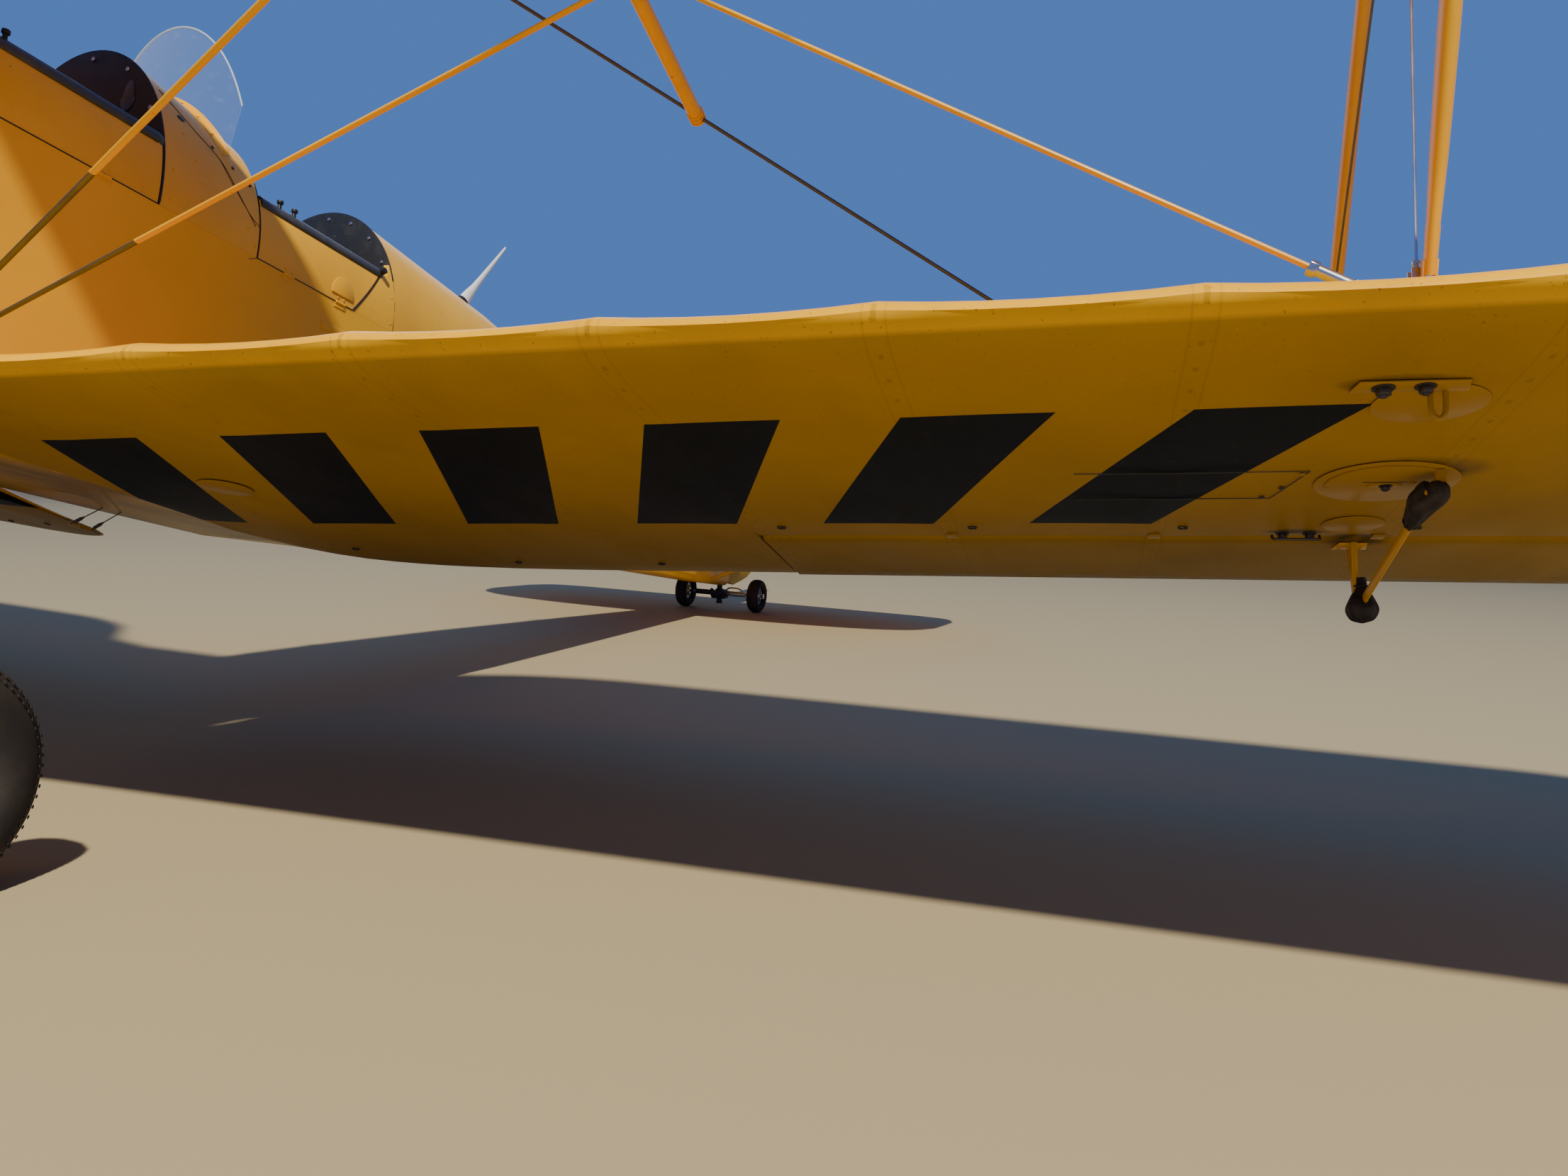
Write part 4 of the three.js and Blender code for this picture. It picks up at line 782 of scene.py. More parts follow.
panel_seams = [swept([under_wing(*a, 0.0006).translation, under_wing(*b, 0.0006).translation], circle(0.0009, 6),
                     down_way) for a, b in zip(panel_edge, panel_edge[1:])]
panel_screws = [rivet(under_wing(x, aft, 0.0004), 0.0055) for x, aft in ((2.975, 0.612), (2.955, 0.69), (2.93, 0.745))]
tie_ring = swept(smooth_path([under_wing(3.081, 0.247, 0.001) @ Vector(p) for p in (
    (-0.009, 0, 0), (-0.0095, 0, 0.018), (-0.008, 0, 0.034), (0, 0, 0.042), (0.008, 0, 0.034), (0.0095, 0, 0.018),
    (0.009, 0, 0))], 25), circle(0.0038, 10), under_wing(3.0, 0.2).to_3x3() @ Vector((0, 1, 0)))
strut_plate = plate([(-0.075, -0.016), (0.075, -0.016), (0.068, 0.022), (-0.068, 0.022)], 0.003,
                    under_wing(3.045, 0.232, 0.0004), 0.001)
both_sides("under_wing_fittings", gathered(*patches, *hinge_plates, tie_ring, strut_plate, *panel_screws[:1]),
           filmed_enamel, sharp=25)
stirrup = swept(smooth_path([under_wing(3.03, 0.99, 0.004) @ Vector(p) for p in (
    (-0.044, -0.014, 0), (-0.044, -0.004, 0.009), (-0.036, 0.004, 0.012), (0, 0.005, 0.012), (0.036, 0.004, 0.012),
    (0.044, -0.004, 0.009), (0.044, -0.014, 0))], 31), circle(0.0028, 8), down_way)
under_nuts = [bolt(under_wing(x, aft, out), r) for x, aft, out, r in (
    (3.010, 0.228, 0.0032, 0.0105), (3.061, 0.226, 0.0032, 0.0095), (3.005, 0.998, 0.0004, 0.009),
    (3.055, 0.998, 0.0004, 0.009))]
both_sides("under_wing_nuts", gathered(*under_nuts, stirrup, *panel_seams, *panel_screws[1:], *grommets), dark_steel)


# Struts between the wings. Spruce bars, streamlined in section and drawn in towards each end, painted over. Each
# ends in a bound steel shoe and a fork that a bolt holds to the spar's lug.
STRUT_CHORD, STRUT_THICK = 0.066, 0.027
PIN_REACH = (0.044, 0.034)
INTERPLANE = {
    "front": ((3.036, 0.385, 0.250), (2.961, -0.260, 1.622)),
    "rear": ((2.974, 1.134, 0.162), (2.961, 0.492, 1.543)),
}


def streamlined(chord, thick, count=24):
    """A teardrop section with its blunt end forward."""
    points = []
    for t in np.linspace(0, 2 * pi, count, endpoint=False):
        along = (1 - cos(t)) / 2
        width = sin(t) * (1.15 - 0.42 * along)
        points.append(((along - 0.5) * chord, width * thick / 2))
    return points


for strut_name, (foot, head) in INTERPLANE.items():
    foot, head = (aboard(*p) for p in (foot, head))
    length = (head - foot).length
    along = (head - foot) / length
    runs = (0.0, 0.04, 0.045, 0.1, 0.2, 0.35, 0.5, 0.65, 0.8, 0.9, 0.955, 0.96, 1.0)
    sizes = (0.62, 0.68, 0.64, 0.82, 0.97, 1.0, 1.0, 1.0, 0.97, 0.82, 0.64, 0.68, 0.62)
    start, end = foot + along * 0.035, head - along * 0.02
    bar_path = [start.lerp(end, r) for r in runs]
    wood_bar = swept(bar_path, streamlined(STRUT_CHORD, STRUT_THICK), (0, 1, 0), sizes)
    shoe_places = (aimed(start, foot, (0, 1, 0)), aimed(end, head, (0, 1, 0)))
    shoes = []
    for place, reach in zip(shoe_places, (0.052, 0.040)):
        for x in (-0.009, 0.006):
            shoes.append(plate([(-0.014, -0.02), (0.014, -0.02), (0.012, reach), (0.006, reach + 0.009),
                                (-0.006, reach + 0.009), (-0.012, reach)], 0.003,
                               place @ facing("xzy", 0, x), 0.0008))
    both_sides(f"interplane_strut_{strut_name}_bar", gathered(wood_bar, *shoes), yellow_enamel,
               replaces=("interplane_strut_" + strut_name + "_{}",))
    pins = [bar(place @ Vector((0, -0.014, reach - 0.004)), place @ Vector((0, 0.014, reach - 0.004)), 0.005, sides=10)
            for place, reach in zip(shoe_places, PIN_REACH)]
    lugs = [plate([(-0.013, 0), (0.013, 0), (0.009, 0.04), (-0.009, 0.04)], 0.007,
                  place @ facing("xzY", 0, -0.0045, reach + 0.022), 0.001)
            for place, reach in zip(shoe_places, PIN_REACH)]
    both_sides(f"interplane_strut_{strut_name}_lugs", gathered(*pins, *lugs), dark_steel)


# Flying and landing wires. Rolled steel rods, streamlined in section, painted like the struts but for their screwed
# lower ends. They spread from one lug on each side to the strut ends, and a bar stops the landing wires' drumming.
FLYING_ANCHOR = aboard(0.3685, 0.131, 0.042)
LANDING_ANCHOR = aboard(0.447, 0.145, 1.4465)
LANDING_FEET = [aboard(*p) for p in ((2.976, 0.382, 0.256), (2.9235, 1.131, 0.168))]
STRUT_HEADS = [aboard(x - STRUT_THICK, y, z - 0.03) for x, y, z in (INTERPLANE[k][1] for k in INTERPLANE)]
STRUT_FEET = [aboard(x - 0.012, y, z + 0.012) for x, y, z in (INTERPLANE[k][0] for k in INTERPLANE)]
SPREADER = [aboard(*p) for p in ((1.776, 0.2795, 0.8196), (1.746, 0.651, 0.777))]
WIRE_OVAL = oval(0.0075, 0.0042, 14)


def eased(start, end, share):
    return Vector(start).lerp(Vector(end), share)


def fork_end(start, end, size=1.0):
    """The screwed end of a wire: a lock nut, a barrel and a fork that a pin crosses."""
    place = aimed(start, end)
    parts = [bar(place @ Vector((0, 0, 0.030 * size)), place @ Vector((0, 0, 0.075 * size)), 0.0075 * size),
             plate(circle(0.0105 * size, 6), 0.011 * size,
                   place @ moved(0, 0, 0.075 * size), 0.0008),
             bar(place @ Vector((-0.011 * size, 0, 0.008 * size)), place @ Vector((0.011 * size, 0, 0.008 * size)),
                 0.0055 * size, sides=10)]
    for x in (-0.0085, 0.0055):
        parts.append(plate([(-0.009, -0.004), (0.009, -0.004), (0.009, 0.034), (-0.009, 0.034)], 0.003,
                           place @ facing("zxy", x), 0.0008))
    return gathered(*parts)


painted_wires, bare_wires, ends = [], [], []
for head, bare in zip(STRUT_HEADS, (0.215, 0.19)):
    painted_wires.append(swept([eased(FLYING_ANCHOR, head, bare), head], WIRE_OVAL, (0, 1, 0)))
    bare_wires.append(swept([eased(FLYING_ANCHOR, head, 0.025), eased(FLYING_ANCHOR, head, bare)],
                            oval(0.0068, 0.0038, 12), (0, 1, 0)))
    ends.append(fork_end(FLYING_ANCHOR, head))
    ends.append(fork_end(head, FLYING_ANCHOR, 0.9))
lug = plate([(0.112, -0.01), (0.150, -0.01), (0.146, 0.05), (0.138, 0.058), (0.122, 0.058), (0.116, 0.05)], 0.012,
            AIRCRAFT @ facing("zxy", 0.357), 0.002)
lug_bolts = [bolt(AIRCRAFT @ moved(0.369, 0.131, z) @ Matrix.Rotation(pi / 2, 4, "Y"), 0.009) for z in (0.012, 0.042)]
both_sides("flying_wire_rods", gathered(*painted_wires), yellow_enamel, replaces=("flying_wires_{}",))
both_sides("flying_wire_ends", gathered(*bare_wires, *ends, lug, *lug_bolts), grey_steel)

front_foot, rear_foot = LANDING_FEET
landing_rod = swept([eased(front_foot, LANDING_ANCHOR, 0.03), eased(front_foot, LANDING_ANCHOR, 0.99)], WIRE_OVAL,
                    (0, 1, 0))
spreader_way = (SPREADER[1] - SPREADER[0]).normalized()
caps = []
for end, way in ((SPREADER[0], -1), (SPREADER[1], 1)):
    for along in (0.021, 0.012, 0.003):
        caps.append(bar(end + spreader_way * way * (along - 0.0025), end + spreader_way * way * (along + 0.0025),
                        0.0172, sides=24))
spreader_bar = bar(SPREADER[0] - spreader_way * 0.022, SPREADER[1] + spreader_way * 0.022, 0.0145, sides=24)
both_sides("landing_wire_rods", gathered(landing_rod, spreader_bar, *caps), yellow_enamel,
           replaces=("landing_wires_{}",))
dark_wire = bar(rear_foot, eased(rear_foot, LANDING_ANCHOR, 0.99), 0.0038, sides=10)
root_forks = [fork_end(LANDING_ANCHOR, foot, 0.9) for foot in LANDING_FEET]
both_sides("landing_wire_rear", gathered(dark_wire, fork_end(rear_foot, LANDING_ANCHOR, 0.9), *root_forks), dark_steel)
incidence = bar(STRUT_FEET[1], STRUT_HEADS[0] + Vector((0.02, 0, 0)), 0.0021, sides=8)
both_sides("incidence_wire_dark", gathered(incidence, fork_end(STRUT_FEET[1], STRUT_HEADS[0], 0.55)), dark_steel)
bare_end = bar(front_foot, eased(front_foot, LANDING_ANCHOR, 0.032), 0.0062, sides=12)
shiny = bar(STRUT_FEET[0], STRUT_HEADS[1] + Vector((0.02, 0, 0)), 0.0021, sides=8)
foot_eye = bar(front_foot + Vector((0.008, 0, -0.045)), front_foot + Vector((-0.008, 0, 0.004)), 0.0085)
both_sides("incidence_wire_bright",
           gathered(shiny, bare_end, foot_eye, fork_end(front_foot, LANDING_ANCHOR, 1.15),
                    fork_end(STRUT_FEET[0], STRUT_HEADS[1], 0.55)), bright_steel)


# Fuselage. A steel tube frame under sheet and cloth: flat sides, and a rounded decking that stops at the two
# cockpits. The tub keeps the solid model's shape; deckings, doors and the rear body get smooth skins here.
# Columns: aft, half width, bottom, foot of the decking, crown
FUSELAGE = ((-0.43, 0.305, -0.08, 0.628, 0.862), (0, 0.33, -0.06, 0.633, 0.985), (0.632, 0.33, -0.06, 0.633, 1.066),
            (0.94, 0.33, -0.06, 0.633, 1.01), (1.49, 0.33, -0.06, 0.633, 1.04), (2.18, 0.3, 0.005, 0.628, 0.996),
            (3, 0.236, 0.128, 0.615, 0.905), (3.9, 0.16, 0.245, 0.6, 0.79), (4.6, 0.098, 0.302, 0.59, 0.7),
            (5.02, 0.05, 0.344, 0.578, 0.636))
LONGERON = 0.6334
CORNER = 0.035
DOOR_TOP = 0.805
WALL = 0.018
REAR_JOINT = 1.49


def straight(table, y):
    """The row of a table at y, by straight lines."""
    columns = list(zip(*table))
    return [float(np.interp(y, columns[0], column)) for column in columns[1:]]


def hull_half(y, u, inset=0.0):
    """Half the fuselage's width at a place along it and a height."""
    half, _, foot, crown = straight(FUSELAGE, y)
    rise = min(max((u - foot) / (crown - inset - foot), 0), 1)
    return (half - inset) * sqrt(1 - rise * rise)


def hull_spot(y, u, out=0.0):
    """A place on the fuselage's port side: x aft, y up the skin and z outwards, off the skin."""
    spot = Vector((hull_half(y, u), y, u))
    up_way = (Vector((hull_half(y, u + 0.004), y, u + 0.004)) - spot).normalized()
    aft_way = (Vector((hull_half(y + 0.02, u), y + 0.02, u)) - spot).normalized()
    out_way = aft_way.cross(up_way).normalized()
    turned = Matrix((aft_way, out_way.cross(aft_way), out_way)).transposed().to_4x4()
    return AIRCRAFT @ Matrix.Translation(spot + out_way * out) @ turned


def body_ring(table, y, base=None, inset=0.0, steps=20, ceiling=9.0):
    """Points round the body at y, from the port side over the crown; above a base only, if that is given."""
    half, bottom, foot, crown = straight(table, y)
    half, bottom, crown = half - inset, bottom + inset, crown - inset
    port = []
    if base is None:
        port += [(half - CORNER + CORNER * sin(t), bottom + CORNER - CORNER * cos(t))
                 for t in np.linspace(0, pi / 2, 6)]
        start = 0.0
    else:
        start = asin(min(max((base - foot) / (crown - foot), 0), 1))
    port += [(half * cos(t), foot + (crown - foot) * sin(t))
             for t in np.linspace(start, pi / 2, steps, endpoint=False)]
    points = port + [(0, crown)] + [(-x, z) for x, z in reversed(port)]
    return [(Vector((x, y, min(z, ceiling))), x + z) for x, z in points]


def run(start, end, table, step=0.06):
    """Places along the body from start to end, with the table's own rows among them."""
    count = max(2, round((end - start) / step) + 1)
    found = set(np.linspace(start, end, count).round(5)) | {row[0] for row in table if start < row[0] < end}
    return sorted(float(y) for y in found)


for deck_name, start, end in (("front_decking", -0.43, 0.098), ("middle_decking", 0.634, 0.938)):
    deck = skin([body_ring(FUSELAGE, y, LONGERON) for y in run(start, end, FUSELAGE)])
    piece(deck_name + "_skin", deck, yellow_enamel, replaces=(deck_name,), place=AIRCRAFT)


def side_panel(foot_run, top_run, foot, top, columns=14, rows=12):
    """A curved sheet on the port side between two heights, whose ends may slope."""
    rings = []
    for t in np.linspace(0, 1, columns):
        outer, inner = [], []
        for w in np.linspace(0, 1, rows):
            height = top(t) if callable(top) else top
            u = foot + (height - foot) * w
            share = min(1, (u - foot) / (DOOR_TOP - foot))
            low = foot_run[0] + (foot_run[1] - foot_run[0]) * t
            high = top_run[0] + (top_run[1] - top_run[0]) * t
            y = low + (high - low) * share
            outer.append((Vector((hull_half(y, u), y, u)), u))
            inner.append((Vector((hull_half(y, u, WALL), y, u)), -u))
        rings.append(outer + inner[::-1])
    return skin(rings)


# Columns: name, foot's front and rear, top's front and rear, then the hinges along the foot
DOORS = (("front", 0.103, 0.628, 0.103, 0.628, (0.2, 0.482)), ("rear", 0.943, 1.310, 0.943, 1.432, (1.054, 1.258)))
for door_name, foot_front, foot_rear, top_front, top_rear, hinges in DOORS:
    door = side_panel((foot_front + 0.0012, foot_rear - 0.0012), (top_front + 0.0012, top_rear - 0.0012),
                      LONGERON + 0.0024, DOOR_TOP)
    hinge_parts = [bar(aboard(0.33, y - 0.019, 0.633), aboard(0.33, y + 0.019, 0.633),
                       0.0042, sides=10) for y in hinges]
    hinge_parts += [rivet(hull_spot(y + dy, LONGERON + 0.014, 0.0), 0.0038) for y in hinges for dy in (-0.012, 0.012)]
    door.transform(AIRCRAFT)
    both_sides(f"door_{door_name}_skin", gathered(door, *hinge_parts), yellow_enamel, "door_" + door_name + "_{}",
               ("door_" + door_name + "_{}",))

TAIL_DECK_FROM, TAIL_DECK_TOP = 4.04, 0.6
rear_rings = [body_ring(FUSELAGE, y) for y in run(REAR_JOINT, TAIL_DECK_FROM, FUSELAGE, 0.12)]
rear_rings += [body_ring(FUSELAGE, y, ceiling=TAIL_DECK_TOP) for y in run(TAIL_DECK_FROM, 5.0, FUSELAGE, 0.12)]
rear_body = skin(rear_rings)
cheek_parts = [side_panel((1.317, REAR_JOINT), (1.439, REAR_JOINT), LONGERON,
                          lambda t: DOOR_TOP + 0.06 * max(0.0, (t * 0.051 - 0.022) / 0.029))]
cheek_parts.append(mirrored(cheek_parts[0]))
lugs = [slab((-0.012, 0.012), (4.96, 5.056), (u - 0.015, u + 0.015), 0.004) for u in (0.4, 0.54)]
body = gathered(rear_body, *cheek_parts, *lugs)
piece("rear_body_skin", body, yellow_enamel, replaces=("rear_fuselage",), slot="fabric_skin", place=AIRCRAFT, sharp=40)

# The solid tub is yellow outside; inside it is primed grey-green like the frame, scuffed on the floor.
tub = Finish("tub_paint", YELLOW, 0.34, coat_weight=0.1, specular_ior_level=0.3)
at, x, y, z = tub.place(turn=NOSE_UP)
cloud = tub.noise(at, 3.1, 4)
outside = tub.mix(((cloud - 0.35) * 0.9).math("MINIMUM", 1, clamp=True), YELLOW, DEEP_YELLOW)
dirt = tub.noise(at, 11, 6, stretch=(1, 0.4, 1)).beyond(0.55, 2) * 0.15
belly_dirt = tub.noise(at, 5, 6, stretch=(1, 0.3, 1)).beyond(0.3, 2.4)
height_up = z - ROOT_HEIGHT * cos(NOSE_UP) + MIDDLE_AFT * sin(NOSE_UP)
outside = tub.mix(dirt, outside, GRIME)
outside = tub.mix((1 - height_up.over(-0.058, 0.004)) * belly_dirt * 0.8, outside, (0.05, 0.035, 0.018))
aft_of = y + MIDDLE_AFT * cos(NOSE_UP) + ROOT_HEIGHT * sin(NOSE_UP)
inside = abs(x).near(0.3145, 0.002) * height_up.over(-0.05, 0.002) * aft_of.over(0.06, 0.004)
primer = tub.mix(tub.noise(at, 9, 5), (0.17, 0.21, 0.16), (0.26, 0.29, 0.22))
tub.set(base_color=tub.mix(inside, outside, primer), roughness=0.34 + 0.16 * cloud + 0.2 * inside)
nodes["cockpit_hull"].data.materials[0] = tub.bump(tub.noise(at, 240, 2) * 0.12 + cloud * 0.5, 0.0008, 0.5)


def black_paint(name, shade=0.012, roughness=0.45):
    f = Finish(name, (shade, shade, shade), roughness, specular_ior_level=0.4)
    at, *_ = f.place()
    scuff = f.noise(at, 24, 6).beyond(0.5, 3)
    scratch = f.noise(at, 90, 2, stretch=(1, 6, 0.5)).over(0.7, 0.02)
    colour = f.mix(scuff * 0.35, (shade, shade, shade), (shade * 3 + 0.01, shade * 2.8 + 0.008, shade * 2.5 + 0.006))
    f.set(base_color=f.mix(scratch * 0.3, colour, (0.12, 0.11, 0.1)), roughness=roughness + 0.2 * scuff)
    return f.bump(f.noise(at, 700, 2) * 0.5 + scuff * 0.4, 0.0004, 0.5)


satin_black = black_paint("satin_black")
rail_grey = black_paint("rail_grey", 0.05, 0.36)

# Door and cockpit fittings: half-round rubbing rails with hooked ends, small black catches on top, latches, and the
# thin seams between the sheets with their rivets. A cranked fairing panel joins the middle decking to the side.
HALF_ROUND = oval(0.013, 0.019, 12, -pi / 2, pi / 2) + [(-0.006, 0.019), (-0.006, -0.019)]
for door_name, _, _, top_front, top_rear, _ in DOORS:
    rail_path = [Vector((hull_half(y, DOOR_TOP) - 0.004, y, DOOR_TOP - 0.004))
                 for y in np.linspace(top_front + 0.006, top_rear - 0.012, 14)]
    drop = rail_path[-1] + Vector((0.004, 0.008, -0.026))
    rail_path = rail_path[:-1] + smooth_path([rail_path[-1], rail_path[-1] + Vector((0.001, 0.009, -0.010)), drop], 6)
    rail = swept([AIRCRAFT @ p for p in rail_path], HALF_ROUND, aboard_way(0.8, 0, 0.6),
                 [1] * (len(rail_path) - 4) + [0.9, 0.75, 0.6, 0.45])
    both_sides(f"door_{door_name}_rail", rail, rail_grey, "door_" + door_name + "_{}", sharp=50)
    knobs = []
    for y in ((0.237,) if door_name == "front" else (1.016, 1.069)):
        knob = hull_spot(y, DOOR_TOP + 0.004)
        top = knob.translation
        knobs.append(bar(top, top + aboard_way(0, 0, 0.020), 0.006, 0.005, 10))
        knobs.append(plate(circle(0.009, 14), 0.010, aimed(
            top + aboard_way(0, 0, 0.017), top + aboard_way(0, 0, 0.03)), 0.004))
    if door_name == "rear":
        knobs.append(bar(hull_spot(1.428, 0.803).translation, hull_spot(1.428, 0.803, 0.022).translation, 0.010))
    both_sides(f"door_{door_name}_catches", gathered(*knobs), satin_black, "door_" + door_name + "_{}")

latch_form = oval(0.045, 0.05, 22, 0, pi) + [(-0.045, -0.008), (0.045, -0.008)]
latch = plate(latch_form, 0.0028, hull_spot(1.262, 0.664, 0.0002), 0.0022)
both_sides("door_rear_latch", latch, yellow_enamel, "door_rear_{}")
hinge_rivets = [rivet(hull_spot(y + dy, LONGERON - 0.013, 0.0), 0.0038) for d in DOORS for y in d[5]
                for dy in (-0.012, 0.012)]
strip_bases = [plate([(-0.024, -0.006), (0.024, -0.006), (0.024, 0.0), (-0.024, 0.0)], 0.0016,
                     hull_spot(y, LONGERON - 0.010), 0.0006) for d in DOORS for y in d[5]]
both_sides("door_hinge_leaves", gathered(*hinge_rivets, *strip_bases), yellow_enamel)


def seam_line(spots, radius=0.0013, out=0.0002, count=40):
    """A dark seam along a curve given by places on the fuselage's side."""
    table = [(i, *spot) for i, spot in enumerate(spots)]
    marks = [between(table, t) for t in np.linspace(0, len(spots) - 1, count)]
    return swept([hull_spot(float(y), float(u), out).translation for y, u in marks], circle(radius, 6), (1, 0, 0))


def straight_seam(start, end, radius=0.0013):
    return seam_line([start, end], radius, 0.0001, 14)


seams = [straight_seam((0.103, LONGERON + 0.0005), (0.628, LONGERON + 0.0005), 0.0017),
    straight_seam((0.943, LONGERON + 0.0005), (1.31, LONGERON + 0.0005), 0.0017),
    straight_seam((0.6312, LONGERON), (0.6312, 0.80), 0.0017), straight_seam(
    (0.9405, LONGERON), (0.9405, 0.85), 0.0015), straight_seam((1.3135, LONGERON), (1.4355, DOOR_TOP), 0.0019),
    straight_seam((0.943, LONGERON), (0.915, 0.62), 0.001), seam_line([(0.66, 0.96), (0.74, 0.90), (0.818, 0.852),
    (0.87, 0.78), (0.925, 0.716)], 0.0012), seam_line([(0.818, 0.852), (0.85, 0.80), (0.90, 0.745), (0.938, 0.72)],
    0.0009), straight_seam((REAR_JOINT, 0.05), (REAR_JOINT, 0.84), 0.0009)]
seam_holes = [plate(oval(0.012, 0.009, 16), 0.001, hull_spot(0.705, 0.905, 0.0002), 0.0004),
              rivet(hull_spot(0.80, 0.878), 0.005), rivet(hull_spot(0.862, 0.852), 0.005),
              rivet(hull_spot(0.915, 0.83), 0.006)]
both_sides("fuselage_seams", gathered(*seams, *seam_holes), satin_black)
rivet_rows = [rivet(hull_spot(y, u), 0.0032) for y, u in (
    (0.70, 0.86), (0.73, 0.80), (0.745, 0.745), (0.75, 0.70), (0.90, 0.70), (0.93, 0.66), (0.66, 0.66), (0.66, 0.74))]
rivet_rows += [rivet(hull_spot(1.475, u), 0.0032) for u in np.arange(0.06, 0.8, 0.085)]
rivet_rows += [rivet(hull_spot(y, 0.60), 0.0032) for y in np.arange(-0.38, 0.1, 0.08)]
strip = plate([(-0.16, -0.012), (0.12, -0.012), (0.12, 0.012), (-0.16, 0.012)], 0.0012, hull_spot(1.36, 0.55, 0.0001),
              0.0005)
access = []
for y in np.linspace(-0.4285, -0.292, 6):
    heights = (0.285, 0.4, 0.5, 0.6, 0.6325)
    access.append([(Vector((hull_half(y, u) + 0.0012, y, u)), u) for u in heights]
                  + [(Vector((hull_half(y, u) - 0.004, y, u)), -u) for u in reversed(heights)])
access_sheet = skin(access)
access_sheet.transform(AIRCRAFT)
access_screws = [rivet(hull_spot(y, u, 0.0012), 0.004) for y in (-0.42, -0.30) for u in (0.295, 0.4, 0.5, 0.61)]
both_sides("fuselage_access", gathered(access_sheet, *access_screws), yellow_enamel)
both_sides("fuselage_rivets", gathered(*rivet_rows, strip), yellow_enamel)

# Bulkheads. A black half-moon of sheet closes the decking behind each cockpit, held by bright screws; the front one
# has a hand-hole of teardrop form.
clear_screws = []
for bulk_name, y, low in (("front", 0.634, 0.64), ("rear", REAR_JOINT, 0.80)):
    half, _, foot, crown = straight(FUSELAGE, y)
    start = asin((low - foot) / (crown - foot))
    rim = [((half + 0.003) * cos(t), foot + (crown - foot + 0.003) * sin(t))
           for t in np.linspace(start, pi - start, 44)]
    upright = AIRCRAFT @ facing("xZy", 0, y - 0.0005)
    piece(f"bulkhead_{bulk_name}", plate(rim, 0.005, upright, 0.0012), satin_black)
    for t in np.linspace(start + 0.22, pi - start - 0.22, 7):
        clear_screws.append(rivet(upright @ Matrix.Translation(
            ((half - 0.022) * cos(t), foot + (crown - foot - 0.022) * sin(t), 0.005)), 0.0062))
piece("bulkhead_screws", gathered(*clear_screws), bright_steel)
hand_hole = AIRCRAFT @ facing("xZy", 0.155, 0.6285, 0.93)
drop_form = [(x * (0.72 + 0.28 * (y < 0)), y) for x, y in oval(0.026, 0.042, 28)]
piece("bulkhead_hand_hole", plate(drop_form, 0.0022, hand_hole, 0.0018), rail_grey)


# Windscreens. Each is one sheet of clear acrylic wrapped round in plan and cut to an oval top, let into a riveted
# metal foot strip on the decking.
# Columns: name, front of the sheet at its foot, half width, foot, height
SCREENS = (("front", -0.04, 0.235, 0.97, 0.265), ("rear", 0.815, 0.245, 1.01, 0.262))
WRAP, BOW, BURIED, WIDER, LEAN = radians(68), 0.095, 0.16, 0.03, 0.1


def deck_height(x, y):
    half, _, foot, crown = straight(FUSELAGE, y)
    return foot + (crown - foot) * sqrt(max(0, 1 - (x / half) ** 2))


clear = Finish("clear_acrylic", (0.80, 0.87, 0.93), 0.04, specular_ior_level=0.5)
at, *_ = clear.place()
glance = clear.node("LayerWeight", inputs={"Blend": 0.3}, output=1)
dust = clear.noise(at, 30, 5).over(0.6, 0.2) * 0.05
clear.set(alpha=(0.02 + dust + 0.5 * glance ** 3).math("MINIMUM", 1, clamp=True), roughness=0.04 + dust * 2)
clear_sheet = clear.material
edge_finish = Finish("acrylic_edge", (0.75, 0.83, 0.88), 0.15, specular_ior_level=0.6)
at, *_ = edge_finish.place()
edge_finish.set(alpha=0.45 + 0.3 * edge_finish.noise(at, 40, 3))
clear_edge = edge_finish.material
for screen_name, front, half, foot, height in SCREENS:
    columns, edge_path, strip_rings, screen_rivets = [], [], [], []
    for turn in np.linspace(-WRAP, WRAP, 45):
        outward = Vector((sin(turn), -cos(turn), 0))
        x = half * sin(turn) / sin(WRAP)
        y = front + BOW * (1 - cos(turn))
        top = foot - BURIED + (height + BURIED) * sqrt(max(0, 1 - (x / (half + WIDER)) ** 2))
        low = deck_height(x, y) + 0.0006
        column = []
        for grow in (0.0, 0.0045):
            heights = np.linspace(low, max(top, low + 0.012), 16)
            line = [(Vector((x, y + (z - foot) * LEAN, z)) + outward * grow, z) for z in heights]
            column += line if grow == 0.0 else line[::-1]
        columns.append(column)
        edge_path.append(AIRCRAFT @ (column[15][0] + outward * 0.002))
        section_out = ((0.040, -0.001), (0.040, 0.002), (0.009, 0.006), (0.0075, 0.020), (0.0055, 0.020), (0.0055, 0))
        ring = []
        for o, rise in section_out:
            spot = Vector((x, y + (low - foot) * LEAN, 0)) + outward * o
            spot.z = deck_height(spot.x, spot.y) + rise
            ring.append((spot, o + rise))
        strip_rings.append(ring)
    sheet = skin(columns)
    piece(f"windscreen_{screen_name}_sheet", sheet, clear_sheet, replaces=("windscreen_" + screen_name,),
        place=AIRCRAFT, sharp=50)
    piece(f"windscreen_{screen_name}_edge", swept(edge_path, circle(0.0024, 8), (0, 1, 0)), clear_edge)
    for ring in strip_rings[2:-1:4]:
        spot = ring[1][0].lerp(ring[2][0], 0.35)
        ahead_spot = ring[2][0] - ring[1][0]
        normal = ahead_spot.cross(Vector((0, 0, 1))).cross(ahead_spot).normalized()
        screen_rivets.append(rivet(aimed(spot + normal * 0.0005, spot + normal), 0.0052))
    strip_mesh = gathered(skin(strip_rings), *screen_rivets)
    piece(f"windscreen_{screen_name}_foot", strip_mesh, yellow_enamel, place=AIRCRAFT)


